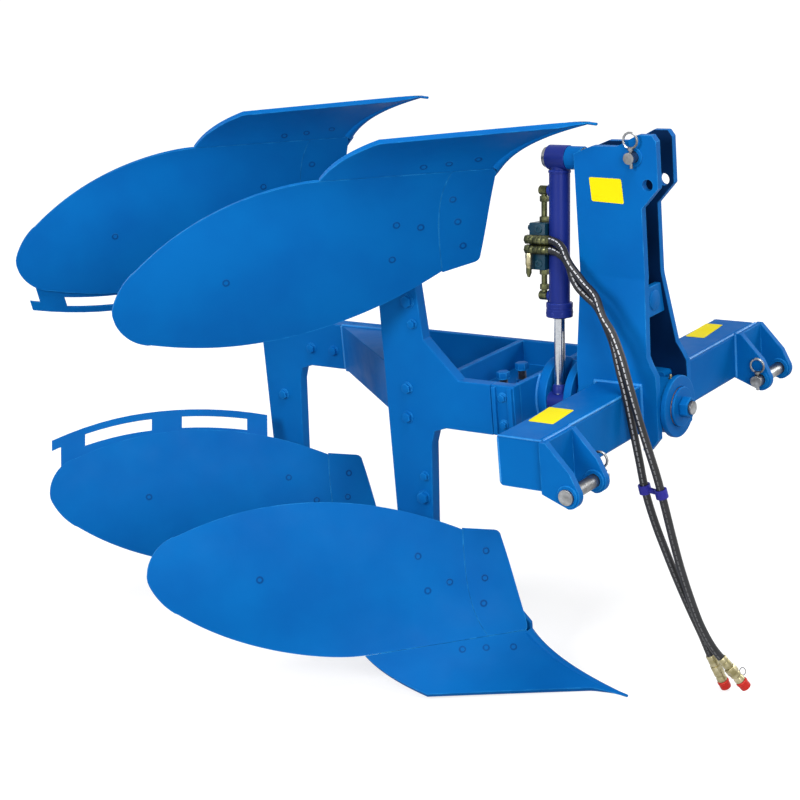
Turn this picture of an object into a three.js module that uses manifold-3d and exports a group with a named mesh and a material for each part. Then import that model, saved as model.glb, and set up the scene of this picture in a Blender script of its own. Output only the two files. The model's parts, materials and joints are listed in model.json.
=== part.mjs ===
// Two-furrow reversible mounted plough: a hitch headstock that stays level behind the tractor, and a
// turning frame that carries a right-hand pair of bodies below and a left-hand pair above. A hydraulic
// cylinder on the mast turns the frame half a turn about the headstock shaft at each headland.
// Lengths are millimetres. +X is the way of travel, +Y the left-hand side and +Z is up. While the pieces
// are made, X = 0 is the lower hitch pins, and Y = 0, Z = 0 is the turnover shaft's axis.
import * as THREE from "three";
import { mergeVertices } from "three/addons/utils/BufferGeometryUtils.js";
import Module from "manifold-3d";

const wasm = await Module();
wasm.setup();

// Clearances shared by all pieces
const seat = 0.3; // between pieces that touch
const overrun = 4; // how far a cutting tool runs past what it cuts, and a joined piece into its neighbour
const weldReach = 0.001; // corners closer than this are one corner
const hexagon = 6;

// Main sizes
const axisHeight = 657; // turnover axis above the ground
const furrowStep = 662; // rear bodies behind the front ones
const furrowOffset = 322; // rear bodies to the left of the front ones

// Crossbar that carries the lower hitch points
const crossbarLength = 970;
const crossbarSide = 112;
const crossbarRise = 9; // its centre above the turnover axis
const crossbarWall = 10;
const crossbarCorner = 10;
const crossbarFront = -62;

// Hub tube through the crossbar, with its two bushes
const hubRadius = 62;
const hubBore = 44;
const hubFlangeRadius = 70;
const hubFlangeThickness = 13;
const hubNose = -9;
const bushLength = 60;
const shaftRadius = 35;

// Shaft end with its washer and nut
const threadRadius = 15;
const shaftWasherRadius = 45;
const shaftWasherThickness = 7;
const shaftNutRadius = 25;
const shaftNutThickness = 20;
const threadEnd = 6;

// Slot in the crank where the cylinder's rod end works
const crankSlotCentre = -285;
const crankSlotWidth = 46;
const crankRadius = 62;
const crankFrontWeb = 20;
const crankRearWeb = 25;
const crankDiscRadius = 85;
const crankRingInner = 38;
const crankRingOuter = 80;
const crankRingHalfAngle = THREE.MathUtils.degToRad(60);

// Mast: two side plates, a rear plate and a front tie
const mastGap = 54;
const mastPlate = 18;
const mastRear = -221;
const mastHeight = 612;
const mastRearFall = 44; // from the mast's top down to its rear corner
const mastSaddleFall = 26;
const mastSaddleRear = -174;
const mastSaddleFront = -112;
const mastEarFront = -16;
const mastEarFall = 115; // from the mast's top down to the ear's lower corner
const mastEarTaper = 45;
const mastNeckFront = -58;
const mastNeckFoot = 290;
const mastKneeFront = -45;
const mastKneeHeight = 130;
const mastFootFront = -22.5;
const mastFootHeight = 87;
const mastFootBottom = -85;
const mastCrownRear = -60;
const mastCrownFront = -26;
const mastShoulder = 28;
const foldTop = 300;
const foldBottom = 110;
const linkPinRadius = 12.7;
const linkPinX = -71;
const linkPinFall = 47; // from the mast's top down to the pin
const linkHoleX = -41;
const linkHoleFall = 61; // from the pin down to the spare hole
const linkPinHeadRadius = 17;
const linkPinHeadLength = 9;
const rearPlateThickness = 12;
const rearPlateBottom = 150;
const tieThickness = 16;
const tieFront = -62;
const tieBottom = 205;
const tieTop = 273;

// Lower hitch clevises and their pins
const hitchSpread = 440; // pin centre from the middle of the plough
const hitchDrop = 43; // pin below the turnover axis
const clevisGap = 90;
const cheekThickness = 16;
const cheekRadius = 28;
const cheekBrow = 8; // top corner of the cheek, ahead of the pin and above the axis
const clevisBackThickness = 15;
const clevisTop = 64;
const hitchPinRadius = 14.2;
const hitchPinHeadRadius = 17;
const hitchPinHeadLength = 9;
const pinTail = 24;
const linchRadius = 4;
const linchLength = 46;
const linchRingRadius = 17;
const linchWire = 3;

// Turnover cylinder, hung on the mast's rear pin
const cylinderPivotFall = 18; // from the mast's rear corner down to the pin
const cylinderPinRadius = 15;
const cylinderPinCollar = 23;
const cylinderPinHead = 10;
const cylinderEyeRadius = 28;
const cylinderEyeWidth = 50;
const barrelRadius = 24;
const barrelBore = 19;
const barrelTop = 30;
const barrelEnd = 358;
const barrelHead = 28;
const barrelNeckRadius = 20;
const glandRadius = 30;
const glandLength = 32;
const rodRadius = 12.5;
const rodEyeRadius = 22;
const pistonLength = 34;

// Valve block on the cylinder, with its pipes and hose ports
const valveDepth = 42;
const valveWidth = 48;
const valveTop = 146;
const valveBottom = 252;
const pipeRadius = 7;
const pipeSetBack = 16;
const upperPortDrop = 74;
const lowerPortDrop = 312;
const portCollarRadius = 11;
const hosePortRadius = 11;
const hosePortStandOff = 2; // between the valve block's side and the port
const hosePortNeckRadius = 9;
const hosePortLength = 34;
const hosePortRise = 22;
const hosePortDrop = 182;
const spindleRadius = 8;
const spindleLength = 64;

// Turning frame
const framePlate = 16;
const headHalfHeight = 60;
const headRear = -1140;
const headFrontPlate = 14;
const headCrossPlate = -530;
const shelfDrop = 12;
const standardNearFace = -178;
const standardThickness = 30;
const legRear = -692;
const legFront = -572;
const legTaper = 30; // how far the front edge has come back at the leg's end
const legReach = 500;
const legFillet = 45;
const gusset = 90;
const armHalfHeight = 60;
const frontArmEnd = -395;
const rearArmEnd = -245; // before the rear bodies' step is added
const beamHalfHeight = 60;
const beamWall = 10;
const beamThickness = 80;
const beamStartRear = -685;
const beamSlope = 1.33; // millimetres back for each to the left

// Stop screws that set how upright the bodies stand
const stopScrewX = -450;
const stopScrewY = 40;
const stopScrewRadius = 10;
const stopScrewLength = 96;
const stopHeadRadius = 16;
const stopHeadLength = 14;

// Working surface of each body, laid on level lines that run back from the shin
const shinHeight = 330;
const shinSetBack = 328;
const shinEase = 68; // height over which the shin turns upright
const shinLean = 24;
const shinDrift = 25;
const shinCrook = 37;
const tipForward = -100;
const tipSide = -158;
const shareAngle = THREE.MathUtils.degToRad(33);
const surfaceTwist = THREE.MathUtils.degToRad(17.5);
const twistEase = 125; // height over which most of the twist is reached
const shareLength = 394;
const shareWingHeight = 16;
const shareNoseLength = 28;
const shareNoseHeight = 11;
const shareSeam = 108;
const shareSeamRear = 96;
const shareThickness = 12;
const shinWidth = 92;
const shinTop = 329;
const mouldboardLength = 842;
const mouldboardFront = 94;
const mouldboardThickness = 8;
const crestPlace = 560;
const crestHeight = 462;
const crestFrontFall = 118; // from the crest down to the front corner
const crestRearFall = 82; // from the crest down to the tail
const bellyStart = 394;
const bellyRise = 255; // from the belly up to the tail
const tailRound = 44;
const tailHeight = 350;
const tailHalf = 14;
const tailPlaceShares = [0.45, 0.75, 0.92, 1]; // columns of facets round the tail
const shinBow = 22; // how far the shin's edge bows forward at mid height
const shareBow = 9;
const surfaceStep = 2; // for the surface's slope
const rowCrowding = 1.5; // rows of facets lie closer low down, where the surface bends most

// Frog and landside that carry the working surfaces
const frogThickness = 26;
const frogSetBack = 42;
const frogBottom = 62;
const frogTop = 296;
const frogRear = -748;
const frogHeel = -500;
const saddleFrom = 18;
const shinRoom = 3; // the frog stays this far behind the shin
const plateRoom = 0.6; // and this far behind the mouldboard and the share
const saddleTo = 250;
const saddleBottom = 60;
const saddleTop = 290;
const saddleThickness = 14;
const stayPlace = 575;
const stayHeight = 318;
const stayRadius = 13;
const stayPad = 36;
const stayRoot = 250;
const stayRootX = -722;
const landsideBottom = 80;
const landsideTop = 150;
const landsideThickness = 12;
const landsideFront = -368;
const landsideRear = -592;

// Slotted strip along the inner edge of the rear mouldboards
const stripPlace = 600;
const stripHeight = 517;
const stripFrontFall = 50;
const stripRearFall = 34;
const stripLap = 18;
const stripSetBack = 0.9; // behind the mouldboard
const stripThickness = 6;
const stripFrom = 258;
const stripTo = 836;
const stripNeck = 812; // the strip's tail runs on past this as a free end
const stripTailDepth = 26;
const stripRail = 17;
const slotHeight = 28;
const slotSpans = [
  [313, 490],
  [571, 748],
];

// Hoses, clamp, couplers and dust caps
const hoseRadius = 9;
const hoseSides = 8;
const hoseSteps = 36;
const clampLength = 20;
const clampWall = 5;
const clampRoom = 1.2; // between a hose and the clamp
const couplerRadius = 12;
const couplerNutRadius = 14;
const couplerLength = 40;
const couplerNutLength = 16;
const capRadius = 14;
const capLength = 22;

// Places worked out from the sizes above
const pivotX = crankSlotCentre;
const crankSlotFront = crankSlotCentre + crankSlotWidth / 2;
const crankSlotRear = crankSlotCentre - crankSlotWidth / 2;
const crankFront = crankSlotFront + crankFrontWeb;
const crankRear = crankSlotRear - crankRearWeb;
const hubRear = crankFront + seat;
const crossbarRear = crossbarFront - crossbarSide;
const crossbarTop = crossbarRise + crossbarSide / 2;
const crossbarBottom = crossbarRise - crossbarSide / 2;
const frameFront = crankRear - seat;
const standardFarFace = standardNearFace + standardThickness;
const mastRearTop = mastHeight - mastRearFall;
const mastSaddleHeight = mastHeight - mastSaddleFall;
const mastEarBottom = mastHeight - mastEarFall;
const linkPinHeight = mastHeight - linkPinFall;
const linkHoleHeight = linkPinHeight - linkHoleFall;
const cylinderPivotHeight = mastRearTop - cylinderPivotFall;
const rodReach = Math.hypot(cylinderPivotHeight, crankRadius);
const cylinderLean = Math.atan2(crankRadius, cylinderPivotHeight);

// Paint and metals
const paint = { color: 0x0f66b4, roughness: 0.45, metalness: 0.1 };
const cylinderPaint = { color: 0x2a2f95, roughness: 0.4, metalness: 0.1 };
const steel = { color: 0x9a9c9f, roughness: 0.4, metalness: 0.8 };
const chrome = { color: 0xd8dadd, roughness: 0.12, metalness: 1 };
const bronze = { color: 0x8a6a38, roughness: 0.5, metalness: 0.8 };
const valvePaint = { color: 0x0e4150, roughness: 0.5, metalness: 0.4 };
const rubber = { color: 0x15161a, roughness: 0.7, metalness: 0 };
const clampBlue = { color: 0x2c2f96, roughness: 0.5, metalness: 0 };
const capRed = { color: 0xc02a20, roughness: 0.5, metalness: 0 };

// Solids: closed geometry to a manifold solid and back
function solidOf(geometry) {
  const plain = geometry.index ? geometry.toNonIndexed() : geometry.clone();
  plain.deleteAttribute("normal");
  plain.deleteAttribute("uv");
  const merged = mergeVertices(plain, weldReach);
  const corners = merged.index.array;
  const kept = [];
  for (let i = 0; i < corners.length; i += 3) {
    const [a, b, c] = [corners[i], corners[i + 1], corners[i + 2]];
    if (a !== b && b !== c && c !== a) kept.push(a, b, c);
  }
  const vertProperties = new Float32Array(merged.attributes.position.array);
  const triVerts = new Uint32Array(kept);
  return new wasm.Manifold(new wasm.Mesh({ numProp: 3, vertProperties, triVerts }));
}

function geometryOf(solid) {
  const mesh = solid.getMesh();
  const geometry = new THREE.BufferGeometry();
  geometry.setAttribute("position", new THREE.BufferAttribute(mesh.vertProperties, mesh.numProp));
  geometry.setIndex(new THREE.BufferAttribute(mesh.triVerts, 1));
  geometry.computeVertexNormals();
  return geometry;
}

const join = (...solids) => solids.reduce((whole, next) => whole.add(next));
const cut = (solid, ...tools) => tools.reduce((left, tool) => left.subtract(tool), solid);

// A block between two corners
function block([x0, y0, z0], [x1, y1, z1]) {
  const geometry = new THREE.BoxGeometry(x1 - x0, y1 - y0, z1 - z0);
  geometry.translate((x0 + x1) / 2, (y0 + y1) / 2, (z0 + z1) / 2);
  return solidOf(geometry);
}

// A round bar between two points
function bar(from, to, radius, sides = 24) {
  const start = new THREE.Vector3(...from);
  const end = new THREE.Vector3(...to);
  const geometry = new THREE.CylinderGeometry(radius, radius, start.distanceTo(end), sides);
  const along = end.clone().sub(start).normalize();
  geometry.applyQuaternion(new THREE.Quaternion().setFromUnitVectors(THREE.Object3D.DEFAULT_UP, along));
  const middle = start.add(end).multiplyScalar(1 / 2);
  geometry.translate(middle.x, middle.y, middle.z);
  return solidOf(geometry);
}

// A sheet of the given thickness, from a shape or from the corners of its outline
function sheetOf(outline, thickness) {
  const corners = Array.isArray(outline) ? outline.map(([a, b]) => new THREE.Vector2(a, b)) : null;
  const shape = corners ? new THREE.Shape(corners) : outline;
  return new THREE.ExtrudeGeometry(shape, { depth: thickness, bevelEnabled: false, curveSegments: 8 });
}

// A plate whose outline lies in X and Z, between two values of Y
function sidePlate(outline, y0, y1) {
  const geometry = sheetOf(outline, y1 - y0);
  geometry.rotateX(Math.PI / 2);
  geometry.translate(0, y1, 0);
  return solidOf(geometry);
}

// A plate whose outline lies in Y and Z, between two values of X
function crossPlate(outline, x0, x1) {
  const geometry = sheetOf(outline, x1 - x0);
  geometry.rotateX(Math.PI / 2);
  geometry.rotateZ(Math.PI / 2);
  geometry.translate(x0, 0, 0);
  return solidOf(geometry);
}

// A plate whose outline lies in X and Y, between two heights
function floorPlate(outline, z0, z1) {
  const geometry = sheetOf(outline, z1 - z0);
  geometry.translate(0, 0, z0);
  return solidOf(geometry);
}

function roundedRectangle(width, height, radius) {
  const [w, h] = [width / 2, height / 2];
  const shape = new THREE.Shape();
  shape.moveTo(radius - w, -h);
  shape.lineTo(w - radius, -h);
  shape.absarc(w - radius, radius - h, radius, -Math.PI / 2, 0);
  shape.lineTo(w, h - radius);
  shape.absarc(w - radius, h - radius, radius, 0, Math.PI / 2);
  shape.lineTo(radius - w, h);
  shape.absarc(radius - w, h - radius, radius, Math.PI / 2, Math.PI);
  shape.lineTo(-w, radius - h);
  shape.absarc(radius - w, radius - h, radius, Math.PI, Math.PI * 1.5);
  return shape;
}

// Scene: a named mesh in a group
function add(group, name, solid, look) {
  const geometry = solid.isBufferGeometry ? solid : geometryOf(solid);
  const mesh = new THREE.Mesh(geometry, new THREE.MeshStandardMaterial(look));
  mesh.name = name;
  group.add(mesh);
  return mesh;
}

// Swaps the two sides of a piece across Y = 0 or Z = 0
function mirrored(solid, axis) {
  const geometry = geometryOf(solid);
  const flip = new THREE.Vector3(1, 1, 1);
  flip[axis] = -1;
  geometry.scale(flip.x, flip.y, flip.z);
  const corners = geometry.index.array;
  for (let i = 0; i < corners.length; i += 3) {
    [corners[i], corners[i + 1]] = [corners[i + 1], corners[i]];
  }
  return geometry;
}

const plough = new THREE.Group();
const headstock = new THREE.Group();
const turningFrame = new THREE.Group();
const hoses = new THREE.Group();
const cylinder = new THREE.Group();
cylinder.position.set(pivotX, 0, cylinderPivotHeight);
cylinder.rotation.x = -cylinderLean;
plough.add(headstock, turningFrame, cylinder, hoses);

// Crossbar arm: a square tube welded to the side of the hub, closed at its outer end
function makeCrossbarArm() {
  const centre = (crossbarFront + crossbarRear) / 2;
  const inner = crossbarSide / 2 - crossbarWall;
  const outline = roundedRectangle(crossbarSide, crossbarSide, crossbarCorner);
  const half = crossbarLength / 2;
  const tube = sidePlate(outline, hubRadius / 2, half);
  const hollow = block([-inner, 0, -inner], [inner, half - crossbarWall, inner]);
  const shell = cut(tube, hollow).translate([centre, 0, crossbarRise]);
  const hubRoom = bar([crossbarRear - overrun, 0, 0], [crossbarFront + overrun, 0, 0], hubRadius + seat, 40);
  return cut(shell, hubRoom);
}
const crossbarArm = makeCrossbarArm();
add(headstock, "crossbar_left", crossbarArm, paint);
add(headstock, "crossbar_right", mirrored(crossbarArm, "y"), paint);

function makeHubTube() {
  const flangeRear = hubNose - hubFlangeThickness;
  const tube = join(bar([hubRear, 0, 0], [hubNose, 0, 0], hubRadius, 40),
    bar([flangeRear, 0, 0], [hubNose, 0, 0], hubFlangeRadius, 40));
  return cut(tube, bar([hubRear - overrun, 0, 0], [hubNose + overrun, 0, 0], hubBore, 32));
}
add(headstock, "hub_tube", makeHubTube(), paint);

function makeBush(from, to) {
  const outer = bar([from, 0, 0], [to, 0, 0], hubBore - seat, 32);
  return cut(outer, bar([from - overrun, 0, 0], [to + overrun, 0, 0], shaftRadius + seat, 32));
}
add(headstock, "front_bush", makeBush(hubNose - bushLength, hubNose), bronze);
add(headstock, "rear_bush", makeBush(hubRear, hubRear + bushLength), bronze);

// Mast side plate: a sheet folded outwards to reach the sides of the hub, cut to the mast's outline
function mastSection(inner, outer) {
  const spread = hubRadius + seat - mastGap / 2;
  const low = mastFootBottom - overrun;
  const high = mastHeight + overrun;
  return [
    [inner, high], [inner, foldTop], [inner + spread, foldBottom], [inner + spread, low],
    [outer + spread, low], [outer + spread, foldBottom], [outer, foldTop], [outer, high],
  ];
}

function makeMastPlate() {
  const barTop = crossbarTop + seat;
  const outline = [
    [mastRear, crossbarBottom], [crossbarRear - seat, crossbarBottom], [crossbarRear - seat, barTop],
    [crossbarFront + seat, barTop], [crossbarFront + seat, mastFootBottom], [mastKneeFront, mastFootBottom],
    [mastFootFront, mastFootBottom + mastShoulder], [mastFootFront, mastFootHeight],
    [mastKneeFront, mastKneeHeight], [mastNeckFront, mastNeckFoot],
    [mastNeckFront, mastEarBottom - mastEarTaper], [mastEarFront, mastEarBottom],
    [mastEarFront, mastHeight - mastShoulder / 2],
    [mastCrownFront, mastHeight], [mastCrownRear, mastHeight], [mastSaddleFront, mastSaddleHeight],
    [mastSaddleRear, mastSaddleHeight], [mastRear, mastRearTop],
  ];
  const reach = mastGap / 2 + mastPlate + hubRadius + overrun;
  const section = mastSection(mastGap / 2, mastGap / 2 + mastPlate);
  const sheet = crossPlate(section.reverse(), mastRear - overrun, overrun);
  const holes = [[linkPinX, linkPinHeight], [linkHoleX, linkHoleHeight]].map(
    ([x, z]) => bar([x, 0, z], [x, reach, z], linkPinRadius + seat, 20));
  return cut(sheet.intersect(sidePlate(outline, 0, reach)), ...holes);
}
const mastPlateSolid = makeMastPlate();
add(headstock, "mast_plate_left", mastPlateSolid, paint);
add(headstock, "mast_plate_right", mirrored(mastPlateSolid, "y"), paint);

// What stands between the mast plates is trimmed to their folded inner faces
function betweenMastPlates(x0, x1, low, high) {
  const side = mastSection(mastGap / 2 - seat, 0).slice(0, 4);
  const across = side.map(([y, z]) => [-y, z]).reverse();
  return crossPlate([...side, ...across].reverse(), x0, x1).intersect(
    block([x0 - overrun, -crossbarLength, low], [x1 + overrun, crossbarLength, high]));
}
const rearPlateFront = mastRear + rearPlateThickness;
const rearPlateSolid = betweenMastPlates(mastRear, rearPlateFront, rearPlateBottom, mastRearTop);
add(headstock, "mast_rear_plate", rearPlateSolid, paint);
add(headstock, "mast_tie", betweenMastPlates(tieFront - tieThickness, tieFront, tieBottom, tieTop), paint);

// Lower hitch clevis: two cheeks on a back plate, welded to the front of the crossbar
function makeClevis() {
  const inner = hitchSpread - clevisGap / 2;
  const outer = hitchSpread + clevisGap / 2;
  const back = crossbarFront + seat;
  const cheek = new THREE.Shape();
  cheek.moveTo(back, crossbarBottom);
  cheek.lineTo(0, -hitchDrop - cheekRadius);
  cheek.absarc(0, -hitchDrop, cheekRadius, -Math.PI / 2, Math.PI / 6);
  cheek.lineTo(cheekBrow, cheekBrow / 2);
  cheek.lineTo(back + clevisBackThickness, clevisTop);
  cheek.lineTo(back, clevisTop);
  const backPlate = block([back, inner - cheekThickness, crossbarBottom],
    [back + clevisBackThickness, outer + cheekThickness, clevisTop]);
  const clevis = join(backPlate, sidePlate(cheek, inner - cheekThickness, inner),
    sidePlate(cheek, outer, outer + cheekThickness));
  const hole = bar([0, inner - cheekThickness - overrun, -hitchDrop],
    [0, outer + cheekThickness + overrun, -hitchDrop], hitchPinRadius + seat, 20);
  return cut(clevis, hole);
}
const clevisSolid = makeClevis();
add(headstock, "hitch_clevis_left", clevisSolid, paint);
add(headstock, "hitch_clevis_right", mirrored(clevisSolid, "y"), paint);

// A pin along +Y with a head at its outer end and a cross hole for its linch pin near the other end
function makePin([x, z], radius, [head, headLength], [tailEnd, headFace]) {
  const shank = bar([x, tailEnd, z], [x, headFace, z], radius, 20);
  const cap = bar([x, headFace, z], [x, headFace + headLength, z], head, 20);
  const hole = tailEnd + pinTail / 2;
  const across = bar([x, hole, z - head], [x, hole, z + head], linchRadius + seat, 12);
  return cut(join(shank, cap), across);
}

// A linch pin: its shank drops through the cross hole and its spring ring folds round the pin's end
function makeLinchPin(x, y, z, pinRadius) {
  const shank = bar([x, y, z - linchLength / 2], [x, y, z + linchLength / 2], linchRadius, 12);
  const ringCentre = z + linchLength / 2 + linchRingRadius - linchWire;
  const ring = new THREE.TorusGeometry(linchRingRadius, linchWire, 5, 14);
  ring.rotateX(Math.PI / 2);
  ring.translate(x, y, ringCentre);
  const headFoot = z + pinRadius + linchWire;
  const head = bar([x, y, headFoot], [x, y, z + linchLength / 2], linchRadius + linchWire, 12);
  return join(shank, head, solidOf(ring));
}

const hitchTail = hitchSpread - clevisGap / 2 - cheekThickness - pinTail;
const hitchHeadFace = hitchSpread + clevisGap / 2 + cheekThickness + seat;
const hitchPinHead = [hitchPinHeadRadius, hitchPinHeadLength];
const hitchPinSolid = makePin([0, -hitchDrop], hitchPinRadius, hitchPinHead, [hitchTail, hitchHeadFace]);
const hitchLinchSolid = makeLinchPin(0, hitchTail + pinTail / 2, -hitchDrop, hitchPinRadius);
add(headstock, "hitch_pin_left", hitchPinSolid, steel);
add(headstock, "hitch_pin_right", mirrored(hitchPinSolid, "y"), steel);
add(headstock, "linch_pin_left", hitchLinchSolid, steel);
add(headstock, "linch_pin_right", mirrored(hitchLinchSolid, "y"), steel);

const linkFace = mastGap / 2 + mastPlate + seat;
const linkHead = [linkPinHeadRadius, linkPinHeadLength];
const linkSpan = [-linkFace - pinTail, linkFace];
const linkLinchSolid = makeLinchPin(linkPinX, -linkFace - pinTail / 2, linkPinHeight, linkPinRadius);
add(headstock, "top_link_pin", makePin([linkPinX, linkPinHeight], linkPinRadius, linkHead, linkSpan), steel);
add(headstock, "linch_pin_top", linkLinchSolid, steel);

// Cylinder's hanging pin: a collar against the rear plate, the shank through the eye, and its end washer
function makeCylinderPin() {
  const eyeFront = pivotX + cylinderEyeWidth / 2 + seat;
  const eyeRear = pivotX - cylinderEyeWidth / 2 - seat;
  const z = cylinderPivotHeight;
  return join(bar([mastRear - seat, 0, z], [eyeFront, 0, z], cylinderPinCollar),
    bar([mastRear - seat, 0, z], [eyeRear, 0, z], cylinderPinRadius),
    bar([eyeRear, 0, z], [eyeRear - cylinderPinHead, 0, z], cylinderPinCollar));
}
add(headstock, "cylinder_pin", makeCylinderPin(), steel);

// Turnover shaft, its front washer and nut
const shaftRear = crankSlotFront + seat;
const shoulder = hubNose;
const washerFront = shoulder + seat + shaftWasherThickness;
const nutFront = washerFront + seat + shaftNutThickness;
const shaftSolid = join(bar([shaftRear, 0, 0], [shoulder, 0, 0], shaftRadius, 32),
  bar([shaftRear, 0, 0], [nutFront + threadEnd, 0, 0], threadRadius, 24));
add(turningFrame, "turnover_shaft", shaftSolid, steel);

function makeRingPlate(from, to, radius, sides) {
  return cut(bar([from, 0, 0], [to, 0, 0], radius, sides),
    bar([from - overrun, 0, 0], [to + overrun, 0, 0], threadRadius + seat, 24));
}
add(turningFrame, "shaft_washer", makeRingPlate(shoulder + seat, washerFront, shaftWasherRadius, 36), paint);
add(turningFrame, "shaft_nut", makeRingPlate(washerFront + seat, nutFront, shaftNutRadius, hexagon), paint);

// Crank: two discs joined by a part ring, which leaves the rod end free to cross the axis
function makeCrank() {
  const front = cut(bar([crankSlotFront, 0, 0], [crankFront, 0, 0], crankDiscRadius, 40),
    bar([crankSlotFront - overrun, 0, 0], [crankFront + overrun, 0, 0], shaftRadius + seat, 32));
  const rear = bar([crankSlotRear, 0, 0], [crankRear, 0, 0], crankDiscRadius, 40);
  const ring = new THREE.Shape();
  ring.absarc(0, 0, crankRingOuter, -crankRingHalfAngle, crankRingHalfAngle);
  ring.absarc(0, 0, crankRingInner, crankRingHalfAngle, -crankRingHalfAngle, true);
  return join(front, rear, crossPlate(ring, crankSlotRear - seat, crankSlotFront + seat));
}
add(turningFrame, "turnover_crank", makeCrank(), paint);

// Head of the frame: front plate, the long far side plate, cross plate and the shelf for the stop screws
function makeHeadFrame() {
  const near = standardFarFace + seat;
  const far = standardFarFace + furrowOffset + seat;
  const h = headHalfHeight;
  const frontPlateRear = frameFront - headFrontPlate;
  const frontPlate = block([frontPlateRear, near, -h], [frameFront, far + seat, h]);
  const farOutline = [
    [headRear, -h], [headRear - h, -h / 2], [headRear - h, h / 2],
    [headRear, h], [frameFront, h], [frameFront, -h],
  ];
  const farPlate = sidePlate(farOutline, far, far + framePlate);
  const crossWall = block([headCrossPlate - framePlate, near, -h], [headCrossPlate, far + seat, h]);
  const shelf = block([headCrossPlate - seat, near, -shelfDrop], [frontPlateRear + seat, far + seat, 0]);
  const holes = [-stopScrewY, stopScrewY].map((y) => bar([stopScrewX, y, -shelfDrop - overrun],
    [stopScrewX, y, overrun], stopScrewRadius + seat, 16));
  return cut(join(frontPlate, farPlate, crossWall, shelf), ...holes);
}
add(turningFrame, "head_frame", makeHeadFrame(), paint);

// Standard: an upright that reaches both bodies, with an arm forward to the frame
function makeStandard(armEnd) {
  const outline = [
    [legRear, -legReach], [legFront - legTaper, -legReach], [legFront, -armHalfHeight - legFillet],
    [legFront + legFillet / 4, -armHalfHeight - legFillet / 4], [legFront + legFillet, -armHalfHeight],
    [armEnd, -armHalfHeight], [armEnd, armHalfHeight], [legFront + gusset, armHalfHeight],
    [legFront, armHalfHeight + gusset], [legFront - legTaper, legReach], [legRear, legReach],
  ];
  return sidePlate(outline, standardNearFace, standardFarFace);
}
add(turningFrame, "front_standard", makeStandard(frontArmEnd), paint);
const rearStep = new THREE.Group();
rearStep.position.set(-furrowStep, furrowOffset, 0);
turningFrame.add(rearStep);
add(rearStep, "rear_standard", makeStandard(rearArmEnd), paint);

// Beam that runs slantwise from the front standard back to the rear one
function makeBeam() {
  const y0 = standardFarFace + seat;
  const y1 = standardNearFace + furrowOffset - seat;
  const across = beamThickness * Math.hypot(1, beamSlope);
  const wallAcross = beamWall * Math.hypot(1, beamSlope);
  const plan = (inset, run) => [
    [beamStartRear + inset + beamSlope * run, y0 - run],
    [beamStartRear + across - inset + beamSlope * run, y0 - run],
    [beamStartRear + across - inset - beamSlope * (y1 - y0 + run), y1 + run],
    [beamStartRear + inset - beamSlope * (y1 - y0 + run), y1 + run],
  ];
  const inner = beamHalfHeight - beamWall;
  const hollow = floorPlate(plan(wallAcross, overrun), -inner, inner);
  return cut(floorPlate(plan(0, 0), -beamHalfHeight, beamHalfHeight), hollow);
}
add(turningFrame, "diagonal_beam", makeBeam(), paint);

function makeStopScrew(y) {
  const head = stopScrewLength / 2;
  return join(bar([stopScrewX, y, -head], [stopScrewX, y, head], stopScrewRadius, 16),
    bar([stopScrewX, y, head - stopHeadLength], [stopScrewX, y, head], stopHeadRadius, hexagon));
}
add(turningFrame, "stop_screw_right", makeStopScrew(-stopScrewY), steel);
add(turningFrame, "stop_screw_left", makeStopScrew(stopScrewY), steel);

// Point of the working surface, a way s back from the shin on the level line at height h
function surfacePoint(s, h) {
  const rise = Math.max(h, 0);
  const share = rise / shinHeight;
  const angle = shareAngle + surfaceTwist * (1 - Math.exp(-rise / twistEase));
  const x = tipForward - shinSetBack * (1 - Math.exp(-rise / shinEase)) - shinLean * share * share;
  const y = tipSide + shinDrift * share + shinCrook * share * share;
  return new THREE.Vector3(x - s * Math.cos(angle), y - s * Math.sin(angle), h - axisHeight);
}

// The same point moved back from the surface by a depth
function behindSurface(s, h, depth) {
  const base = Math.max(h, surfaceStep);
  const along = surfacePoint(s + surfaceStep, base).sub(surfacePoint(s - surfaceStep, base));
  const up = surfacePoint(s, base + surfaceStep).sub(surfacePoint(s, base - surfaceStep));
  const back = along.cross(up).normalize();
  return surfacePoint(s, h).addScaledVector(back, depth);
}

// A plate that follows the surface: low(s) and high(s) bound it between two places along the level lines,
// and bow moves its points forward along them
function surfacePlate(places, low, high, nearDepth, farDepth, rows, bow = () => 0) {
  const columns = places.length;
  const positions = [];
  for (const depth of [nearDepth, farDepth]) {
    for (const s of places) {
      for (let j = 0; j <= rows; j++) {
        const h = low(s) + (high(s) - low(s)) * (j / rows) ** rowCrowding;
        positions.push(...behindSurface(s - bow(s, j / rows), h, depth).toArray());
      }
    }
  }
  const id = (side, i, j) => (side * columns + i) * (rows + 1) + j;
  const faces = [];
  const quad = (a, b, c, d) => faces.push(a, b, c, a, c, d);
  for (let i = 0; i + 1 < columns; i++) {
    for (let j = 0; j < rows; j++) {
      quad(id(0, i, j), id(0, i, j + 1), id(0, i + 1, j + 1), id(0, i + 1, j));
      quad(id(1, i, j), id(1, i + 1, j), id(1, i + 1, j + 1), id(1, i, j + 1));
    }
    quad(id(0, i, 0), id(0, i + 1, 0), id(1, i + 1, 0), id(1, i, 0));
    quad(id(0, i, rows), id(1, i, rows), id(1, i + 1, rows), id(0, i + 1, rows));
  }
  const last = columns - 1;
  for (let j = 0; j < rows; j++) {
    quad(id(0, 0, j), id(1, 0, j), id(1, 0, j + 1), id(0, 0, j + 1));
    quad(id(0, last, j), id(0, last, j + 1), id(1, last, j + 1), id(1, last, j));
  }
  const geometry = new THREE.BufferGeometry();
  geometry.setAttribute("position", new THREE.Float32BufferAttribute(positions, 3));
  geometry.setIndex(faces);
  return solidOf(geometry);
}

function spaced(from, to, count) {
  return Array.from({ length: count + 1 }, (_, i) => from + ((to - from) * i) / count);
}

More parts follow.
